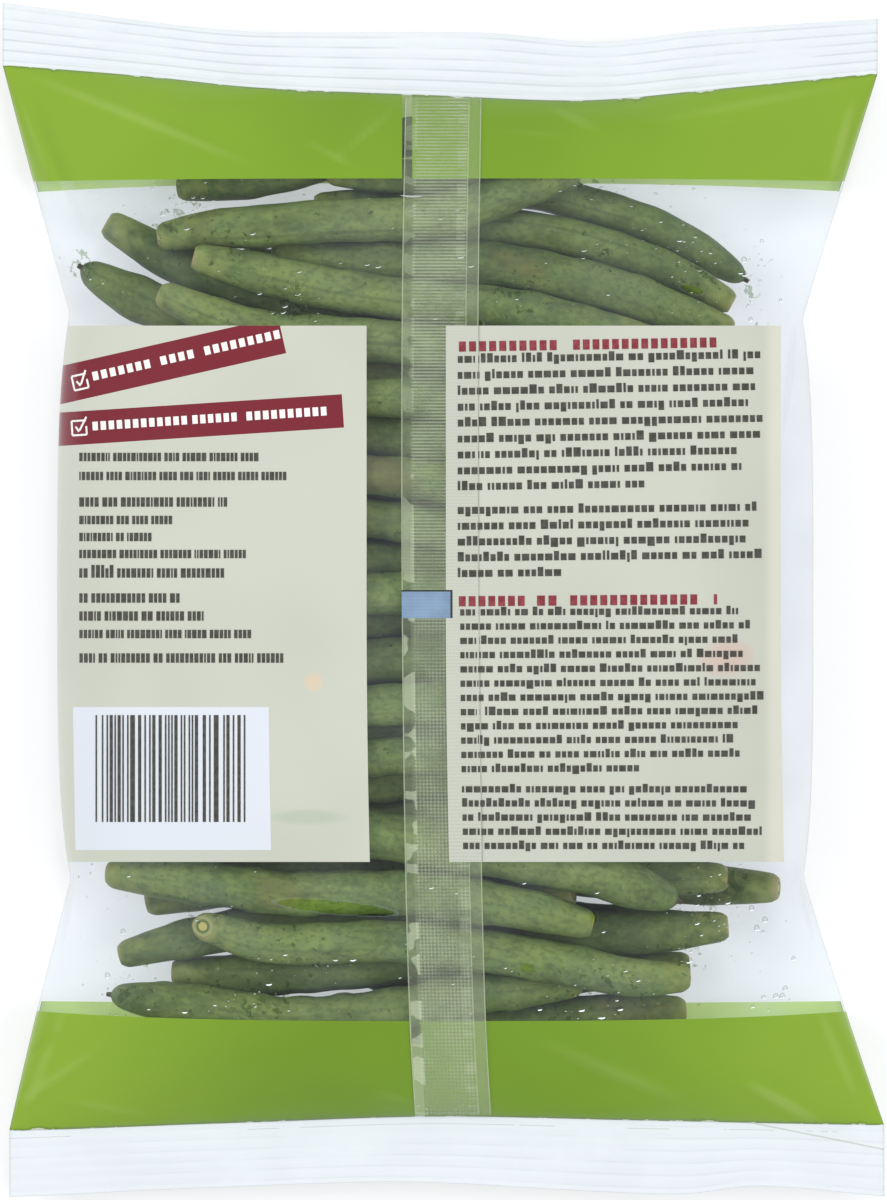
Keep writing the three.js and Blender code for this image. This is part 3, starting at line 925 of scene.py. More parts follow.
def seal_material(settings):
    """Two films pressed into one: milky, with a grey line of painted shade in each rib's valley and a bluish
    cast.
    """
    material, tree = new_material("sealed_film")
    place = object_place(tree)
    depth = attribute(tree, "depth")
    x, y, _ = split(vector_math("SCALE", place, 1000.0))
    bottom = y < 0.0
    broken = mapped(noise(vector_math("MULTIPLY", place, (1.0, 3.0, 1.0)), 38.0), 0.36, 0.6)
    # Painted shade: each rib's valley is painted with a broken grey line.
    valley = mapped(sine(depth * (2 * math.pi * CRIMP_COUNT), "COSINE"), -0.72, -0.98)
    lines = valley * broken * mapped(depth, 0.04, 0.12) * (bottom * -0.28 + 0.42)
    colour = mix_colour(lines, settings.seal_colour, settings.crimp_valley_shade_colour)
    fold = between(depth, 0.118, 0.130) * (noise(place, 60.0, 3.0) > 0.5)
    colour = mix_colour(fold * bottom * 0.3, colour, from_srgb(110, 130, 80))
    past_flap = y + ((x - FLAP_FROM) * FLAP_SLOPE + FLAP_Y)
    flap = between(past_flap, -0.16, 0.16) * (x > FLAP_FROM) * bottom * 0.4
    colour = mix_colour(flap, colour, from_srgb(150, 165, 130))
    film = principled(tree, colour, 0.32, IOR=FILM_IOR)
    low, high = settings.seal_cover - 0.06, settings.seal_cover + 0.04
    cover = mapped(noise(place, 55.0, 3.0), 0.3, 0.7, low, high)
    return show(material, mix_shader(cover, clear_shader(tree), film))


def build_seal(seal, name, material, ribs):
    depths = np.linspace(0, 1, SEAL_ROWS)
    xs = seal.middle_x + SEAL_HALF_WIDTH * np.linspace(-1, 1, SEAL_COLUMNS)
    x, depth = np.meshgrid(xs, depths)
    y = seal.side * lerp(seal.inner(x) - SEAL_LAP, seal.outer(x), depth)
    z = edge_z(x, 1) + flutter(x, y, 1)
    z = z + SEAL_WAVE * depth * waves(x, y, SEED + 21, 22 * MM, 60 * MM)
    upper = np.stack([x, y, z + SEAL_HALF_WALL], axis=-1)
    lower = np.stack([x, y, z - SEAL_HALF_WALL], axis=-1)
    piece = slab(name, upper, lower)
    store(piece.data, "depth", np.tile(depth.ravel(), 2))
    rib_height = TOP_RIBS if seal.side > 0 else BOTTOM_RIBS
    run_tree(piece, ribs, {"Ribs": float(CRIMP_COUNT), "Height": rib_height, "Material": material})
    return outward(piece)


# Fin of the back seam

FIN_ROWS = 240
FIN_COLUMNS = 40
FIN_WALL = 0.12 * MM
FIN_LIP = 0.05 * MM
LIP_SHARE = 0.03
FIN_RUFFLE = 0.12 * MM
LEAST_LIFT = 0.08 * MM
KNURL_ROWS = 9.0
KNURL_DIAMONDS = 4.2
EYE_MARK = (-9.0, 1.9, -3.8, 2.1)


def fin_material(settings):
    """Two films lapped and knurled together, with the right panel's print and the printer's blue mark."""
    material, tree = new_material("fin_film")
    place = object_place(tree)
    seen_x, y = as_seen(place)
    x = leaning(seen_x, y)
    across = attribute(tree, "across")
    rows = sine(y * KNURL_ROWS)
    diamonds = sine((y + x) * KNURL_DIAMONDS) * sine((y - x) * KNURL_DIAMONDS)
    knurl = mix(mapped(y, 30.0, -40.0), rows, diamonds)
    uneven = mapped(noise(place, 120.0, 3.0), 0.3, 0.65, 0.35, 1.0)
    zone = mapped(across, 0.10, 0.16) * mapped(across, 0.835, 0.81)
    pressed = zone * uneven * mapped(knurl, -1.0, 1.0, smooth=False)
    ragged = mapped(noise(vector_math("MULTIPLY", place, (0.35, 1.6, 1.0)), 300.0), 0.42, 0.58)
    fringe = between(across, 0.70, 0.84) * ragged * 0.5
    patchy = mapped(noise(vector_math("MULTIPLY", place, (0.8, 1.0, 1.0)), 210.0, 1.5), 0.50, 0.53)
    patches = between(across, 0.02, 0.165) * patchy * mapped(y, 45.0, -10.0, 0.35, 1.0)
    edge = (across < 0.016) | (across > 0.986)
    seam = between(across, 0.830, 0.845)
    hem = (across > 0.845) * 0.02
    foot = mapped(y, -78.0, -88.0, 0.45 * settings.fin_cover, 0.9 * settings.fin_cover)
    cover = foot + pressed * (1.5 * settings.fin_cover) + hem
    cover = cover + fringe * 0.12 + patches * 0.16 + seam * 0.12 + edge * 0.25
    colour = mix_colour(patches | seam | hem, settings.fin_colour, toned(settings.fin_colour, 1.12))
    colour = mix_colour(edge, colour, from_srgb(206, 214, 188))
    panel = (x > RIGHT_PANEL[0]) * between(y, *PANEL_Y)
    colour = mix_colour(panel, colour, toned(settings.panel_colour, 0.94))
    x0, x1, y0, y1 = EYE_MARK
    mark = between(x, x0, x1) * between(y, y0, y1)
    inner_mark = between(x, x0, x1 - 0.45) * between(y, y0, y1 - 0.35)
    clouded = mapped(noise(place, 200.0, 3.0), 0.3, 0.7)
    blue = mix_colour(clouded, toned(settings.eye_mark_colour, 0.8), settings.eye_mark_colour)
    colour = mix_colour(mark, colour, mix_colour(inner_mark, from_srgb(52, 58, 54), blue))
    seen_through = 1.0 - (cover | mark * 0.93 | panel * settings.ink_cover)
    film = principled(tree, colour, 0.38, IOR=FILM_IOR, Normal=bump(tree, knurl, 0.0002))
    return show(material, mix_shader(1.0 - seen_through * seen_through, clear_shader(tree), film))


def build_fin(settings):
    """A lapped strip on the back, a little thicker along its folded edges."""
    stations = closing_in(FIN_ROWS, 0.3)
    shares = closing_in(FIN_COLUMNS, 0.6) / 2 + 0.5
    along = stations * by_seal(stations, lambda seal: seal.reach - FIN_GAP)
    y, share = np.meshgrid(along, shares, indexing="ij")
    x = FIN_LINE(y) + FIN_WIDTH * (share - 0.5)
    lip = FIN_LIP * sum(np.exp(-(((share - edge) / LIP_SHARE) ** 2)) for edge in (0, 1))
    ruffle = FIN_RUFFLE * waves(x, 0.5 * y, SEED + 31, 9 * MM, 30 * MM) * (0.3 + share * 0.7)
    base = back_height(x, y) + np.maximum(FIN_GAP * 0.5 + ruffle, LEAST_LIFT)
    lower = np.stack([x, y, base], axis=-1)
    upper = np.stack([x, y, base + FIN_WALL + lip], axis=-1)
    fin = slab("fin", upper, lower, fin_material(settings))
    fin.data.materials.append(clear_inside("fin_under"))
    faces_a_side = (FIN_ROWS - 1) * (FIN_COLUMNS - 1)
    for polygon in fin.data.polygons[faces_a_side:2 * faces_a_side]:
        polygon.material_index = 1
    store(fin.data, "across", np.tile(share.ravel(), 2))
    return outward(fin)


# Beans

BEAN_RINGS = 84
BEAN_SIDES = 18
RING_CORNERS = 7
TIP_SHARE = 0.36
CUT_SHARE = 0.64
TIP_REACH = 17 * MM
CUT_REACH = 26 * MM
RIM_REACH = 1.8 * MM
RIM_ROUNDING = 0.26
STUB_LENGTH = 1.1 * MM
STUB_SHARE = 0.3
STUB_ROUNDING = 2.4 * MM
FULLNESS = 1.02
# Depth below the back at which the beans' painted shade is darkest
FULL_SHADE_DEPTH = 17 * MM

# The bean whose left end turns up, how much of it does, and how far
TURNED_UP = "pod_13"
TURN_REACH = 5 * MM
TURN_ANGLE = math.radians(68)
TURN_RINGS = 8


def bean_rings(cad_bean):
    """Centres and mean radii of a packed bean's rings, from its own corners."""
    corners = np.unique(np.round([tuple(v.co) for v in cad_bean.data.vertices], 6), axis=0)
    middle = corners.mean(0)
    axis = np.linalg.svd(corners - middle)[2][0]
    axis *= math.copysign(1, axis[0])
    corners = corners[np.argsort((corners - middle) @ axis)]
    cuts = list(range(RING_CORNERS + 1, len(corners) - RING_CORNERS, RING_CORNERS))
    rings = np.split(corners, cuts)
    centres = np.array([ring.mean(0) for ring in rings])
    radii = [np.linalg.norm(ring - centre, axis=1).sum() for ring, centre in zip(rings, centres)]
    return centres, np.array(radii) / RING_CORNERS


def narrowing(distance, share, reach):
    """Girth left at a distance from an end that narrows to a share of the full girth."""
    return share + (1 - share) * (1 - np.clip(1 - distance / reach, 0, 1) ** 2.3)


def turn_up(points, along):
    """Bends the left end of a centre line upwards, in place."""
    last = int(np.searchsorted(along, TURN_REACH))
    outwards = points[last] - points[last + TURN_RINGS]
    outwards /= np.linalg.norm(outwards)
    for i in range(last - 1, -1, -1):
        angle = TURN_ANGLE * (1 - along[i] / TURN_REACH)
        heading = math.cos(angle) * outwards + math.sin(angle) * np.array([0, 0, 1])
        points[i] = points[i + 1] + (along[i + 1] - along[i]) * heading


def bean_line(name, cad_bean):
    """The bean's centre line as a chain of edges that stores what the sweep needs."""
    centres, radii = bean_rings(cad_bean)
    full = radii[2:-2].mean()
    tipped = [radii[i] < 0.5 * full for i in (0, -1)]
    lengths = np.concatenate([[0], np.cumsum(np.linalg.norm(np.diff(centres, axis=0), axis=1))])
    even = np.linspace(0, 1, BEAN_RINGS)
    along = lengths[-1] * lerp(even, 0.5 - 0.5 * np.cos(math.pi * even), 0.62)
    points = smooth_through(lengths, centres)(along)
    if name == TURNED_UP:
        turn_up(points, along)
    girth = np.full(BEAN_RINGS, FULLNESS * full)
    for tip, distance in zip(tipped, (along, lengths[-1] - along)):
        if tip:
            past_stub = np.clip((distance - STUB_LENGTH) / STUB_ROUNDING, 0, 1)
            girth *= narrowing(distance, TIP_SHARE, TIP_REACH)
            girth *= lerp(STUB_SHARE, 1, np.sqrt(1 - (1 - past_stub) ** 2))
        else:
            girth *= narrowing(distance, CUT_SHARE, CUT_REACH)
            girth *= 1 - RIM_ROUNDING * np.clip(1 - distance / RIM_REACH, 0, 1) ** 2
    piece = new_object(name, points, edges=[(i, i + 1) for i in range(BEAN_RINGS - 1)])
    mesh, far = piece.data, lengths[-1]
    store(mesh, "girth", girth)
    store(mesh, "along", along)
    store(mesh, "end", np.minimum(along, far - along))
    store(mesh, "cut", np.minimum(along + far * tipped[0], far - along + far * tipped[1]))
    store(mesh, "tip", np.minimum(along + far * (not tipped[0]), far - along + far * (not tipped[1])))
    return piece


def sweep_tree():
    """Sweeps a bean's oval along its line and swells it over its seeds."""
    tree, entry = new_tree("Bean sweep", [
        ("Sides", "Int", BEAN_SIDES),
        ("Flatness", "Float", 0.9),
        ("Roll", "Float", 0.0),
        ("Swell", "Float", 0.0003),
        ("Seed spacing", "Float", 0.011),
        ("Ripple", "Float", 0.0002),
        ("Tint", "Float", 0.5),
        ("Seed", "Float", 0.0),
    ])
    curve = wire(tree, "GeometryNodeMeshToCurve", {"Mesh": entry["Geometry"]})
    curve = wire(tree, "GeometryNodeSetCurveNormal", {"Curve": curve}, mode="Z_UP")
    curve = wire(tree, "GeometryNodeSetCurveTilt", {"Curve": curve, "Tilt": entry["Roll"]})
    rounded = {"Resolution": entry["Sides"], "Radius": 1.0}
    circle = wire(tree, "GeometryNodeCurvePrimitiveCircle", rounded)
    circle = stored(circle, "around", wire(tree, "GeometryNodeSplineParameter", output="Factor"))
    oval = vector(tree, entry["Flatness"], 1.03, 1.0)
    circle = wire(tree, "GeometryNodeTransform", {"Geometry": circle, "Scale": oval})
    girth, along, end = named(tree, "girth"), named(tree, "along"), named(tree, "end")
    swept = wire(tree, "GeometryNodeCurveToMesh", {
        "Curve": curve, "Profile Curve": circle, "Scale": girth, "Fill Caps": True})
    turn = named(tree, "around") * (2 * math.pi)
    shift = entry["Seed"] * 17.3
    sideways, upwards = sine(turn, "COSINE") * girth, sine(turn) * girth
    skin = vector_math("ADD", vector(tree, along, sideways, upwards), vector(tree, shift, shift))
    swept = stored(swept, "skin", skin, "FLOAT_VECTOR")
    swept = stored(swept, "section", vector(tree, sideways, upwards), "FLOAT_VECTOR")
    # Painted shade: stored for each bean, lower for beans deeper in the bundle, with a random share.
    swept = stored(swept, "tint", entry["Tint"])
    wander = noise(vector(tree, along, shift), 40.0, 1.0)
    pods = sine((along / entry["Seed spacing"] + wander * 1.6) * (2 * math.pi), "COSINE")
    pods = mapped(pods, -1.0, 1.0) ** 1.5
    flat_sides = abs(sine(turn, "COSINE")) ** 1.3
    swell = pods * flat_sides * mapped(end, 0.004, 0.018) * entry["Swell"]
    ripple = (noise(skin, 130.0) - 0.5) * mapped(end, 0.0005, 0.006) * entry["Ripple"]
    offset = vector_math("SCALE", wire(tree, "GeometryNodeInputNormal"), swell + ripple)
    smooth = wire(tree, "GeometryNodeSetShadeSmooth", {"Geometry": moved(swept, Offset=offset)})
    return finished(tree, smooth, entry["Material"])


def bean_material(settings):
    """Fresh pod skin: cloudy greens with a grey bloom, dark blotches and brown specks, tan at its cuts, with
    painted shade that makes beans deeper in the bundle darker and less pale.
    """
    material, tree = new_material("bean_skin")
    skin = attribute(tree, "skin", "Vector")
    tint, cut, tip = attribute(tree, "tint"), attribute(tree, "cut"), attribute(tree, "tip")

    def clouds(offset, stretch, scale, low, high, detail=3.0, roughness=0.55):
        """Cloudy patches from 0 to 1, drawn out along the bean by less than 1."""
        stretched = vector_math("MULTIPLY", skin, (stretch, 1.0, 1.0))
        shifted = vector_math("ADD", stretched, (offset, offset, 0.3))
        return mapped(noise(shifted, scale, detail, roughness), low, high)

    deep, pale = settings.deep_colour, settings.pale_colour
    # Painted light and shade: beans deeper in the bundle have a lower tint, so they get fewer pale patches.
    lit = mapped(tint, 0.0, 1.0, 0.35, 0.95)
    broad = clouds(0.0, 0.5, 62.0, 0.36, 0.64)
    mottle = clouds(4.1, 0.8, 420.0, 0.42, 0.66, 2.0, 0.65)
    from_seam = abs(attribute(tree, "around") - 0.5)
    wander = mapped(noise(skin, 25.0, 1.0), 0.0, 1.0, -0.295, -0.245, smooth=False)
    seam = mapped(abs(from_seam + wander), 0.022, 0.004)
    specks = wire(tree, "ShaderNodeTexVoronoi", {"Vector": skin, "Scale": 330.0}, "Distance")
    speckled = mapped(specks, 0.16, 0.07) * (noise(skin, 150.0, 1.0) > 0.6)
    uneven = clouds(7.7, 1.0, 240.0, 0.2, 0.8, 2.0)
    section = attribute(tree, "section", "Vector")
    from_core = wire(tree, "ShaderNodeVectorMath", {0: section}, "Value", operation="LENGTH")
    face = mix_colour(mapped(from_core, 0.0008, 0.0011), from_srgb(188, 178, 104), (0.13, 0.16, 0.05))
    face = mix_colour(mapped(from_core, 0.0013, 0.0018), face, from_srgb(152, 158, 100))
    face = mix_colour(mapped(from_core, 0.0027, 0.0034), face, settings.cut_colour)
    # Painted shade: a lower tint paints the bean towards the deep green; the rest of the tint is random tone.
    colour = mix_colour(tint, deep, settings.skin_colour)
    for share, layer in (
        (broad * lit * 0.8, pale),
        (clouds(1.3, 0.6, 110.0, 0.42, 0.66) * lit * 0.55, settings.bloom_colour),
        (clouds(2.9, 0.5, 170.0, 0.46, 0.68, 2.0) * 0.5, deep),
        (mottle * lit * 0.45, pale),
        (clouds(5.7, 0.8, 900.0, 0.48, 0.64, 1.0) * 0.35, deep),
        (clouds(3.1, 0.7, 45.0, 0.6, 0.74, 2.0) * 0.6, settings.scar_colour),
        (seam * broad * 0.4, deep),
        (speckled * 0.6, settings.scar_colour),
        (mapped(uneven * 0.014 + cut, 0.017, 0.005) * 0.6, settings.end_colour),
        (mapped(uneven * 0.0016 + cut, 0.0016, 0.0006) * 0.85, settings.cut_colour),
        (cut < 0.00002, face),
        (mapped(uneven * 0.0012 + tip, 0.0030, 0.0012) * 0.85, settings.tip_colour),
    ):
        colour = mix_colour(share, colour, layer)
    height = noise(skin, 160.0, 1.0) * 2.2 + noise(skin, 700.0)
    roughness = mapped(mottle, 0.0, 1.0, 0.5, 0.66)
    relief = bump(tree, height, 0.0004)
    return show(material, principled(tree, colour, roughness, Normal=relief, Specular_IOR_Level=0.3))


# Ink marks in place of words

MARK_LIFT = 0.06 * MM
MARK_THICKNESS = 0.05 * MM

# Rows of the left panel by where they lie down the picture and end across it, in pixels
PICTURE_MIDDLE = (443.5, 600)
LEFT_ROWS = [
    (457, 261), (476, 292), (502, 240), (520, 182), (537, 152), (554, 247), (573, 225), (598, 190),
    (616, 207), (634, 252), (658, 286),
]
TALL_LEFT_ROWS = (2, 6, 7, 8, 10)


def marks_tree():
    """Puts a flat bar at each point, of the size and turn it stores, and lays the bars on the film."""
    tree, entry = new_tree("Ink marks", [
        ("Film", "Object", None),
        ("Fin", "Object", None),
        ("Lift", "Float", MARK_LIFT),
        ("Thickness", "Float", MARK_THICKNESS),
    ])
    width, depth, _ = split(named(tree, "size", "FLOAT_VECTOR"))
    upright = {"Axis": (0, 0, 1), "Angle": named(tree, "turn")}
    bars = wire(tree, "GeometryNodeInstanceOnPoints", {
        "Points": entry["Geometry"],
        "Instance": wire(tree, "GeometryNodeMeshCube"),
        "Rotation": wire(tree, "FunctionNodeAxisAngleToRotation", upright),
        "Scale": vector(tree, width, depth, entry["Thickness"]),
    })
    bars = wire(tree, "GeometryNodeRealizeInstances", {"Geometry": bars})
    ground = node(tree, "GeometryNodeJoinGeometry")
    for label in ("Film", "Fin"):
        piece = {"Object": entry[label]}
        under = wire(tree, "GeometryNodeObjectInfo", piece, "Geometry", transform_space="RELATIVE")
        tree.links.new(under.socket, ground.inputs[0])
    x, y, z = split(wire(tree, "GeometryNodeInputPosition"))
    ray = {
        "Target Geometry": Wire(tree, ground.outputs[0]),
        "Source Position": vector(tree, x, y, 0.2),
        "Ray Direction": (0, 0, -1),
        "Ray Length": 1.0,
    }
    hit = wire(tree, "GeometryNodeRaycast", ray, "Hit Position")
    laid = vector(tree, x, y, split(hit)[2] + z + entry["Lift"])
    return finished(tree, moved(bars, Position=laid), entry["Material"])


def lean_at(y):
    """How far the print leans right below the middle, in millimetres."""
    return LEAN * min(y, 0) ** 2


def letter_blocks(draw, x0, x1, y, height, slope=0.0, capitals=False, wide=1.0):
    """Plain small blocks in place of a row of words between two places, in millimetres."""
    stems = [0] if capitals else [0, 0, 0, 0, 0, 0.36]
    marks = []
    x = x0
    while x < x1 - 1.5 * height:
        for _ in range(draw.choice([2, 3, 4, 5, 5, 6, 7, 8, 9, 11])):
            width = wide * height * draw.choice([0.35, 0.66, 0.72, 0.8, 0.8, 0.86, 1.05])
            if x + width > x1:
                break
            tall = height * draw.choice(stems)
            middle = x + width / 2
            rise = slope * (middle - x0) + tall / 2 * draw.choice([1, 1, 1, -1])
            marks.append((middle + lean_at(y), y + rise, width, height + tall, math.atan(slope)))
            x += width + 0.26 * wide * height
        x += 0.55 * wide * height
    return marks


def word(x0, x1, y, height, slope, leans=True):
    """One word's worth of even blocks from end to end, in millimetres."""
    count = max(1, round((x1 - x0) / (0.98 * height)))
    pitch = (x1 - x0) / count
    lean = lean_at(y) if leans else 0
    middles = [(i + 0.5) * pitch for i in range(count)]
    return [(x0 + m + lean, y + slope * m, 0.68 * pitch, height, math.atan(slope)) for m in middles]


def paragraph(draw, top, pitch, ends, x0, height, slope):
    marks = []
    for row, x1 in enumerate(ends):
        marks += letter_blocks(draw, x0, x1, top - pitch * row, height, slope)
    return marks


def tick_box(x, y, size, turn):
    """A square outline with a tick in it."""
    line = 0.4
    longest = 0.8
    cos, sin = math.cos(turn), math.sin(turn)
    parts = [
        (0, size / 2, size, line, 0),
        (0, -size / 2, size, line, 0),
        (-size / 2, 0, line, size, 0),
        (size / 2, -0.2 * size, line, 0.6 * size, 0),
        (-0.13 * size, -0.08 * size, 0.42 * size, line, -1.05),
        (0.28 * size, 0.28 * size, 1.05 * size, line, 1.05),
    ]
    marks = []
    for px, py, width, height, tilt in parts:
        count = math.ceil(max(width, height) / longest)
        along = (math.cos(tilt), math.sin(tilt)) if width > height else (-math.sin(tilt), math.cos(tilt))
        piece = (width / count, height) if width > height else (width, height / count)
        for i in range(count):
            offset = (i + 0.5) / count * max(width, height) - max(width, height) / 2
            qx, qy = px + along[0] * offset, py + along[1] * offset
            marks.append((x + cos * qx - sin * qy, y + sin * qx + cos * qy, *piece, turn + tilt))
    return marks


def stripes(draw, x0, x1, y0, y1):
    """A made-up row of upright stripes, each in short lengths that follow the film."""
    marks = []
    module = 0.33
    lengths = 11
    step = (y1 - y0) / lengths
    x = x0
    while x < x1:
        width = module * draw.choice([1, 1, 1, 2, 2, 3])
        for i in range(lengths):
            marks.append((x + width / 2 + lean_at(y0), y0 + (i + 0.5) * step, width, 1.02 * step, 0.0))
        x += width + module * draw.choice([1, 1, 2, 2, 3])
    return marks


def panel_marks():
    """The marks of both panels by ink."""
    draw = random.Random(SEED + 41)
    body = 1.42
    small = 1.3
    slope = 0.016
    dark = []
    lower_ends = [62, 65, 62, 63.4, 67.3, 65.4, 67, 66.6, 64, 61.4, 62.9, 41.1]
    right_rows = [
        (50.3, 3.33, [67.3, 65.4, 67.7, 66.5, 67.3, 67.3, 62.0, 65.2, 42.6], 3.0, body, slope),
        (18.7, 3.3, [66.6, 66.4, 63.5, 66.9, 25.5], 3.0, body, 0.7 * slope),
        (-2.6, 2.98, lower_ends, 3.5, small, 0.3 * slope),
        (-39.6, 2.96, [64.8, 65.4, 65.4, 66.5, 62.3], 3.5, small, 0.0),
    ]
    for top, pitch, ends, x0, height, rise in right_rows:
        dark += paragraph(draw, top, pitch, ends, x0, height, rise)
    for row, (y, x1) in enumerate(LEFT_ROWS):
        height = 1.95 if row in TALL_LEFT_ROWS else 1.75
        x1, y = (x1 - PICTURE_MIDDLE[0]) / PIXELS_A_MM, (PICTURE_MIDDLE[1] - y) / PIXELS_A_MM
        dark += letter_blocks(draw, -76.2, x1, y, height, capitals=row != 6, wide=0.5)
    dark += stripes(draw, -73.3, -42.0, -46.4, -24.1)
    maroon = word(2.9, 24.0, 53.0, 2.1, slope) + word(26.8, 57.4, 53.4, 2.1, slope)
    for x0, x1 in ((2.9, 17.3), (19.2, 24.0), (26.2, 53.4), (56.4, 57.4)):
        maroon += word(x0, x1, -0.3 + 0.5 * slope * x0, 2.1, 0.5 * slope)
    white = []
    rows = (
        (45.6, ((-73.7, -61.1), (-59.5, -52.0), (-50.3, -34.0)), (-76.0, 45.6)),
        (36.0, ((-73.7, -53.4), (-52.8, -43.0), (-41.5, -24.2)), (-76.2, 36.0)),
    )
    for (row_y, words, box), (_, _, left, rise, _) in zip(rows, BANNERS):
        for x0, x1 in words:
            white += word(x0, x1, row_y + rise * (x0 - left), 1.8, rise, False)
        white += tick_box(*box, 3.0, math.atan(rise))
    return {"ink_dark": dark, "ink_maroon": maroon, "ink_white": white}


def build_marks(name, marks, tree, material):
    marks = np.array(marks, float)
    flat = np.zeros(len(marks))
    x, y = marks[:, 0] * MM, marks[:, 1] * MM
    nearness = EYE_DISTANCE * MM / (EYE_HEIGHT * MM - back_height(x, y))
    piece = new_object(name, np.column_stack([x / nearness, y / nearness, flat]))
    store(piece.data, "size", np.column_stack([marks[:, 2:4] * MM, flat]), "FLOAT_VECTOR")
    store(piece.data, "turn", marks[:, 4])
    return run_tree(piece, tree, {
        "Film": bpy.data.objects["film"],
        "Fin": bpy.data.objects["fin"],
        "Lift": MARK_LIFT,
        "Thickness": MARK_THICKNESS,
        "Material": material,
    })


# Condensation

STRAY_DROPS = 0.09
SMALLEST_DROP = 0.13 * MM
DROPS_BELOW_FILM = 0.12 * MM

# The rows in which drops lie, in millimetres
DROP_ROWS = ((57.5, 88.0), (-87.0, -55.0))


def droplet_tree():
    """Scatters flattened drops over the patch that comes in, hanging from its inner side."""
    tree, entry = new_tree("Condensation", [
        ("Drops a square metre", "Float", 30000.0),
        ("Smallest", "Float", 0.0002),
        ("Largest", "Float", 0.001),
        ("Seed", "Int", 3),
    ])
    density = named(tree, "damp") * entry["Drops a square metre"]
    spread = {"Mesh": entry["Geometry"], "Density": density, "Seed": entry["Seed"]}
    scattered = node(tree, "GeometryNodeDistributePointsOnFaces", spread)
    chance = {"Min_001": 0.0, "Max_001": 1.0, "Seed": 5}
    draw = node(tree, "FunctionNodeRandomValue", chance, data_type="FLOAT")
    skewed = Wire(tree, next(output for output in draw.outputs if output.enabled)) ** 3.5
    size = mapped(skewed, 0.0, 1.0, entry["Smallest"], entry["Largest"], smooth=False)
    placed = wire(tree, "GeometryNodeInstanceOnPoints", {
        "Points": Wire(tree, scattered.outputs["Points"]),
        "Instance": wire(tree, "GeometryNodeMeshIcoSphere", {"Radius": 1.0, "Subdivisions": 2}),
        "Rotation": Wire(tree, scattered.outputs["Rotation"]),
        "Scale": vector(tree, size, size * 0.85, size * 0.45),
    })
    real = wire(tree, "GeometryNodeRealizeInstances", {"Geometry": placed})
    smooth = wire(tree, "GeometryNodeSetShadeSmooth", {"Geometry": real})
    return finished(tree, smooth, entry["Material"])


def water_material():
    """Small drops: nearly clear in the middle, with painted shade where they curve away and a sharp painted
    glint aside that glows.
    """
    material, tree = new_material("condensed_water")
    surface = node(tree, "ShaderNodeNewGeometry")
    normal, far_side = (Wire(tree, surface.outputs[name]) for name in ("Normal", "Backfacing"))
    lamp = {0: normal, 1: (0.2, -0.98, 0)}
    towards = wire(tree, "ShaderNodeVectorMath", lamp, "Value", operation="DOT_PRODUCT")
    # Painted highlight: the glint is drawn where the normal faces a fixed direction and glows; the rim gets
    # painted shade.
    glint = mapped(towards, 0.3, 0.5) * mapped(towards, 0.86, 0.76) * (1.0 - far_side)
    rim = mapped(wire(tree, "ShaderNodeLayerWeight", {"Blend": 0.35}, "Facing"), 0.15, 0.6, 0.06, 0.85)
    colour = mix_colour(glint, (0.07, 0.10, 0.045), (0.95, 0.97, 1.0))
    water = principled(tree, colour, 0.1, IOR=1.33, Emission_Color=colour, Emission_Strength=0.5)
    return show(material, mix_shader(rim | glint, clear_shader(tree), water))


def build_droplets(settings):
    """Drops on the inside of the back, where clear film lies over the ends of the bundle."""
    points, faces = [], []
    for low, high in DROP_ROWS:
        xs, ys = np.meshgrid(np.linspace(-77, 74, 90) * MM, np.linspace(low, high, 30) * MM)
        zs = back_height(xs, ys) - FILM_WALL - DROPS_BELOW_FILM
        faces += grid_faces(*xs.shape, first=len(points), flipped=True)
        points += list(np.stack([xs, ys, zs], axis=-1).reshape(-1, 3))
    patch = new_object("droplets", points, faces)
    places = np.array(points)
    store(patch.data, "damp", STRAY_DROPS + dampness(places[:, 0], places[:, 1]))
    return run_tree(patch, droplet_tree(), {
        "Drops a square metre": settings.drops,
        "Smallest": SMALLEST_DROP,
        "Largest": settings.largest_drop,
        "Seed": SEED,
        "Material": water_material(),
    })


# Stage

PICTURE_HEIGHT = 2 * PICTURE_MIDDLE[1] / PIXELS_A_MM * MM
SENSOR_HEIGHT = 24
FLOOR_REACH = 4.0
EYE_FOCUS_Z = (EYE_HEIGHT - EYE_DISTANCE) * MM


def softbox(name, place, size, power):
    """A large square lamp that faces the bag."""
    data = bpy.data.lights.new(name, "AREA")
    data.shape = "SQUARE"
    data.size = size
    data.energy = power
    lamp = linked(name, data)
    lamp.location = place
    lamp.rotation_euler = (-Vector(place)).to_track_quat("-Z", "Y").to_euler()
    lamp.visible_glossy = False


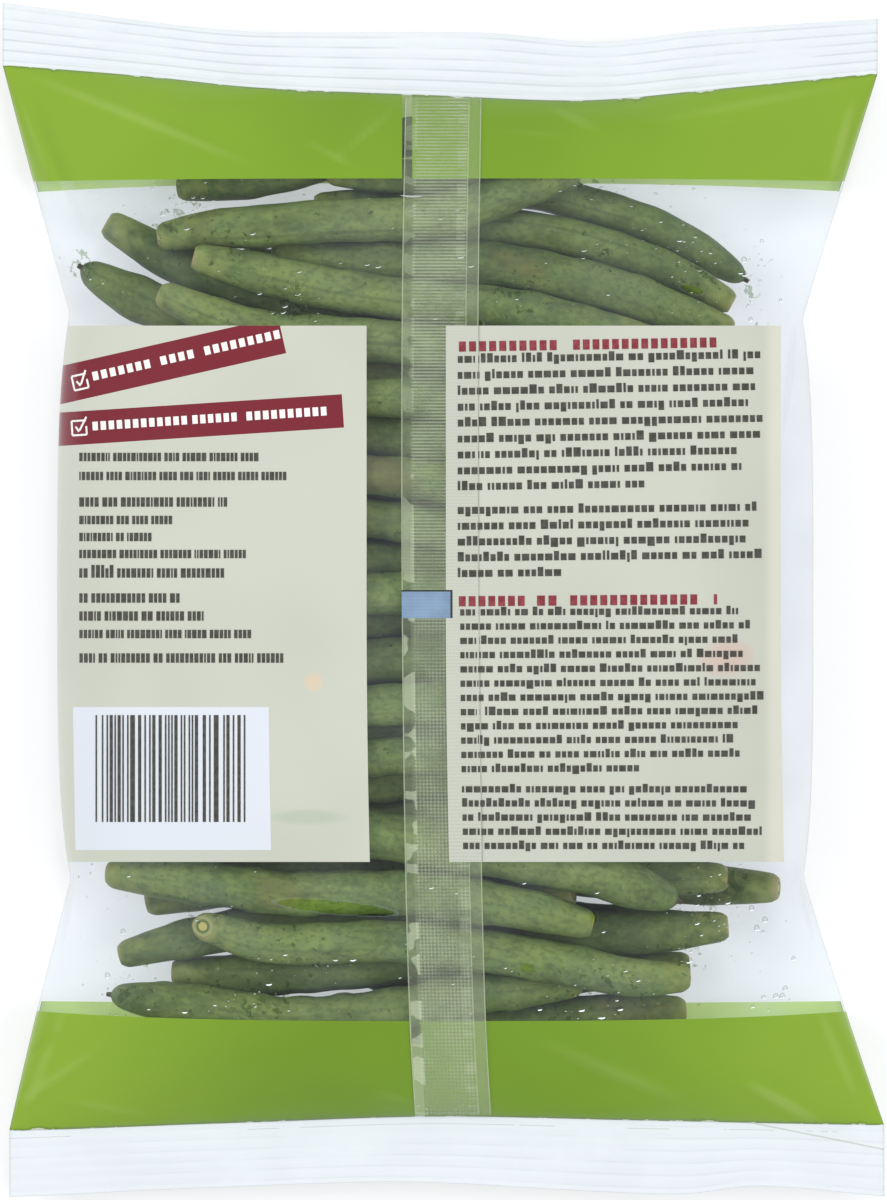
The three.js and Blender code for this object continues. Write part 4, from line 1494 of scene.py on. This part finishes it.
def build_stage(settings):
    scene = bpy.context.scene
    scene.view_settings.view_transform = "Standard"
    scene.cycles.transparent_max_bounces = 10
    scene.cycles.max_bounces = 2
    scene.cycles.diffuse_bounces = 1
    world = bpy.data.worlds.new("studio")
    world.use_nodes = True
    background = world.node_tree.nodes["Background"]
    background.inputs["Color"].default_value = (0.97, 0.985, 1, 1)
    background.inputs["Strength"].default_value = settings.world_light
    scene.world = world
    softbox("left_softbox", (-0.9, 0.25, 1.0), 0.7, settings.lamp_light)
    softbox("right_softbox", (0.85, -0.1, 1.15), 0.7, settings.lamp_light)
    softbox("upper_softbox", (0.15, 0.75, 1.5), 0.35, settings.lamp_light * 0.6)
    material, tree = new_material("floor")
    glow = {"Emission_Color": (1, 1, 1, 1), "Emission_Strength": settings.floor_glow}
    show(material, principled(tree, (*settings.floor_colour, 1), 0.9, Specular_IOR_Level=0.1, **glow))
    corners = [(x * FLOOR_REACH, y * FLOOR_REACH, 0) for x, y in ((-1, -1), (1, -1), (1, 1), (-1, 1))]
    floor = new_object("floor", corners, [(0, 1, 2, 3)], material=material)
    camera_data = bpy.data.cameras.new("camera")
    camera_data.sensor_fit = "VERTICAL"
    camera_data.sensor_height = SENSOR_HEIGHT
    camera_data.lens = SENSOR_HEIGHT * settings.camera_distance / PICTURE_HEIGHT
    camera_data.clip_end = 20
    camera = linked("camera", camera_data)
    camera.location = (0, 0, settings.camera_distance + EYE_FOCUS_Z)
    scene.camera = camera


# Settings and operators


def number(label, text, value, **more):
    return bpy.props.FloatProperty(name=label, description=text, default=value, min=0, **more)


def length(label, text, value):
    return number(label, text, value, unit="LENGTH", subtype="DISTANCE", precision=5)


def share(label, text, value):
    return number(label, text, value, max=1, subtype="FACTOR")


def colour(label, text, r, g, b):
    return bpy.props.FloatVectorProperty(
        name=label, description=text, default=from_srgb(r, g, b), min=0, max=1, size=3, subtype="COLOR"
    )


class FilmSettings(bpy.types.PropertyGroup):
    """Colours and cover of the film and its print."""

    band_colour: colour("Bands", "Green of the printed bands", 122, 160, 38)
    # Painted light: the paler green that the bands are painted towards their side edges.
    backlit_side_band_colour: colour("Bands at the sides", "Green of the bands at the side edges", 153, 186, 60)
    # Painted light: the paler green of the bands seen from inside, standing in for light coming through them.
    backlit_inner_band_colour: colour("Bands inside", "Green bands seen from inside the bag", 178, 201, 128)
    crease_colour: colour("Creases", "Light that a crease catches", 196, 214, 140)
    panel_colour: colour("Panels", "Cream of the two panels", 205, 208, 194)
    banner_colour: colour("Banners", "Maroon of the banners", 124, 38, 50)
    code_box_colour: colour("Stripe box", "Ground of the upright stripes", 224, 230, 238)
    dark_ink: colour("Dark ink", "Ink of the small marks", 66, 65, 59)
    maroon_ink: colour("Maroon ink", "Ink of the headings", 130, 48, 56)
    white_ink: colour("White ink", "Ink of the marks on the banners", 238, 236, 230)
    film_tint: colour("Film tint", "What the clear film lets through", 251, 253, 255)
    haze_colour: colour("Haze", "Cast of the clear film", 218, 230, 245)
    # Painted shade: the grey that the clear film's folds are painted.
    fold_shade_colour: colour("Folds", "Grey of the clear film's folds", 206, 213, 220)
    seal_colour: colour("Seals", "Milky colour of the crimped seals", 244, 250, 255)
    # Painted shade: the grey painted in the valleys between the ribs.
    crimp_valley_shade_colour: colour("Crimp lines", "Grey of the lines between ribs", 190, 198, 200)
    fin_colour: colour("Fin", "Haze of the lapped fin", 214, 226, 194)
    eye_mark_colour: colour("Eye mark", "Blue of the printer's mark", 138, 164, 194)
    haze: share("Film haze", "How much of what is behind the clear film it hides", 0.09)
    gloss: share("Film gloss", "How much the clear film mirrors straight on", 0.012)
    # Painted light: how strongly the inside of the print glows.
    glow: share("Light through the print", "Light that the print lets through, seen from inside", 0.35)
    ink_cover: share("Ink cover", "How much of what is behind it the print hides", 0.97)
    seal_cover: share("Seal cover", "How much of what is behind them the seals hide", 0.8)
    fin_cover: share("Fin cover", "How much of what is behind it one face of the fin hides", 0.13)


class BeanSettings(bpy.types.PropertyGroup):
    """Colours and relief of the beans."""

    # Painted shade: the deep green is also what beans deeper in the bundle are painted towards.
    skin_colour: colour("Skin", "Green of a lighter bean", 106, 128, 72)
    deep_colour: colour("Deep green", "Green of a darker bean and of its blotches", 70, 86, 49)
    pale_colour: colour("Pale green", "Yellower green of the lit patches", 143, 160, 88)
    scar_colour: colour("Scars", "Brown of scars and specks", 116, 104, 62)
    bloom_colour: colour("Bloom", "Grey green of the bloom", 110, 128, 90)
    end_colour: colour("Trimmed ends", "Yellowish green towards the trimmed ends", 148, 156, 88)
    cut_colour: colour("Cut ends", "Tan of the cut faces", 158, 146, 100)
    tip_colour: colour("Withered tips", "Brown of the natural tips", 70, 62, 42)
    swell: length("Seed swell", "How far a seed swells its pod", 0.34 * MM)
    seed_spacing: length("Seed spacing", "Distance from seed to seed", 10.5 * MM)
    ripple: length("Skin ripple", "Unevenness of the skin", 0.45 * MM)


class DropletSettings(bpy.types.PropertyGroup):
    """Size and number of the drops."""

    drops: number("Drops", "Drops on each square metre of the dampest film", 120000)
    largest_drop: length("Largest drop", "Radius of the largest drops", 0.8 * MM)


class StageSettings(bpy.types.PropertyGroup):
    """Floor, lights and camera."""

    floor_colour: colour("Floor", "Colour of the floor", 200, 201, 203)
    floor_glow: number("Floor glow", "Light that the floor gives", 0.5)
    world_light: number("Surrounding light", "Strength of the light all round", 0.5)
    lamp_light: number("Softboxes", "Power of each large softbox", 7.0, unit="POWER")
    camera_distance: length("Camera distance", "Height of the camera over the bag", 2.2)


def ride_and_slot(piece, slot, *nodes):
    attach(piece, "root")
    if nodes:
        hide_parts(*nodes)


class OBJECT_OT_beans(bpy.types.Operator):
    """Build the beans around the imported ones"""

    bl_idname = "object.green_beans"
    bl_label = "Beans"

    def execute(self, context):
        settings = context.scene.bean_settings
        material = bean_material(settings)
        sweep = sweep_tree()
        draw = random.Random(SEED)
        names = sorted(n for n in frame["nodes"] if n.startswith("bean_"))
        for name in names:
            piece = bean_line(name.replace("bean_", "pod_"), frame["nodes"][name])
            x, y, z = np.mean([tuple(v.co) for v in frame["nodes"][name].data.vertices], axis=0)
            # Painted shade: beans lying deeper below the back get a lower tint, which paints them darker,
            # times a random share.
            buried = float(back_height(x, y) - z)
            tint = float(np.clip(1.3 - buried / FULL_SHADE_DEPTH, 0.3, 1)) * draw.uniform(0.65, 1)
            run_tree(piece, sweep, {
                "Sides": BEAN_SIDES,
                "Flatness": draw.uniform(0.88, 0.97),
                "Roll": draw.uniform(-0.6, 0.6),
                "Swell": settings.swell * draw.uniform(0.4, 1.4),
                "Seed spacing": settings.seed_spacing * draw.uniform(0.9, 1.15),
                "Ripple": settings.ripple,
                "Tint": tint,
                "Seed": float(draw.randint(1, 90)),
                "Material": material,
            })
            ride_and_slot(outward(piece), "bean_skin", name)
        return {"FINISHED"}


class OBJECT_OT_film(bpy.types.Operator):
    """Build the printed film tube"""

    bl_idname = "object.bean_bag_film"
    bl_label = "Film"

    def execute(self, context):
        beans = [piece for piece in context.scene.objects if piece.name.startswith("pod_")]
        ride_and_slot(build_film(context.scene.film_settings, beans), "clear_film", "film_tube")
        return {"FINISHED"}


class OBJECT_OT_seals(bpy.types.Operator):
    """Build the two crimped end seals"""

    bl_idname = "object.bean_bag_seals"
    bl_label = "End seals"

    def execute(self, context):
        material = seal_material(context.scene.film_settings)
        ribs = crimp_tree()
        for seal, name in ((TOP_SEAL, "end_seal_top"), (BOTTOM_SEAL, "end_seal_bottom")):
            piece = build_seal(seal, name.replace("end_", "crimped_"), material, ribs)
            ride_and_slot(piece, "sealed_film", name)
        return {"FINISHED"}


class OBJECT_OT_fin(bpy.types.Operator):
    """Build the lapped fin of the back seam"""

    bl_idname = "object.bean_bag_fin"
    bl_label = "Fin"

    def execute(self, context):
        ride_and_slot(build_fin(context.scene.film_settings), "fin_film", "fin_seal")
        return {"FINISHED"}


class OBJECT_OT_marks(bpy.types.Operator):
    """Lay plain ink marks where the panels have rows of words"""

    bl_idname = "object.bean_bag_marks"
    bl_label = "Ink marks"

    def execute(self, context):
        settings = context.scene.film_settings
        inks = (settings.dark_ink, settings.maroon_ink, settings.white_ink)
        tree = marks_tree()
        for (name, marks), ink in zip(panel_marks().items(), inks):
            piece = build_marks(name, marks, tree, ink_material(name, ink))
            ride_and_slot(piece, "clear_film")
        return {"FINISHED"}


class OBJECT_OT_droplets(bpy.types.Operator):
    """Scatter condensation inside the film"""

    bl_idname = "object.bean_bag_droplets"
    bl_label = "Droplets"

    def execute(self, context):
        ride_and_slot(build_droplets(context.scene.droplet_settings), "clear_film")
        return {"FINISHED"}


class OBJECT_OT_stage(bpy.types.Operator):
    """Set up the floor, the lights and the camera"""

    bl_idname = "object.bean_bag_stage"
    bl_label = "Stage"

    def execute(self, context):
        build_stage(context.scene.stage_settings)
        return {"FINISHED"}


class VIEW3D_PT_bean_bag(bpy.types.Panel):
    """The steps that build the bag of green beans"""

    bl_label = "Green beans"
    bl_space_type = "VIEW_3D"
    bl_region_type = "UI"
    bl_category = "Green beans"

    def draw(self, context):
        for step in STEPS:
            self.layout.operator(step.bl_idname)
        for name in SETTINGS:
            box = self.layout.box()
            group = getattr(context.scene, name)
            for key in type(group).__annotations__:
                box.prop(group, key)


STEPS = (
    OBJECT_OT_beans,
    OBJECT_OT_film,
    OBJECT_OT_seals,
    OBJECT_OT_fin,
    OBJECT_OT_marks,
    OBJECT_OT_droplets,
    OBJECT_OT_stage,
)
SETTINGS = {
    "film_settings": FilmSettings,
    "bean_settings": BeanSettings,
    "droplet_settings": DropletSettings,
    "stage_settings": StageSettings,
}
CLASSES = (*SETTINGS.values(), *STEPS, VIEW3D_PT_bean_bag)


def register():
    for each in CLASSES:
        bpy.utils.register_class(each)
    for name, group in SETTINGS.items():
        setattr(bpy.types.Scene, name, bpy.props.PointerProperty(type=group))


def unregister():
    for name in SETTINGS:
        delattr(bpy.types.Scene, name)
    for each in reversed(CLASSES):
        bpy.utils.unregister_class(each)


def main():
    register()
    bpy.ops.object.green_beans()
    bpy.ops.object.bean_bag_film()
    bpy.ops.object.bean_bag_seals()
    bpy.ops.object.bean_bag_fin()
    bpy.ops.object.bean_bag_marks()
    bpy.ops.object.bean_bag_droplets()
    bpy.ops.object.bean_bag_stage()


if __name__ == "__main__":
    main()
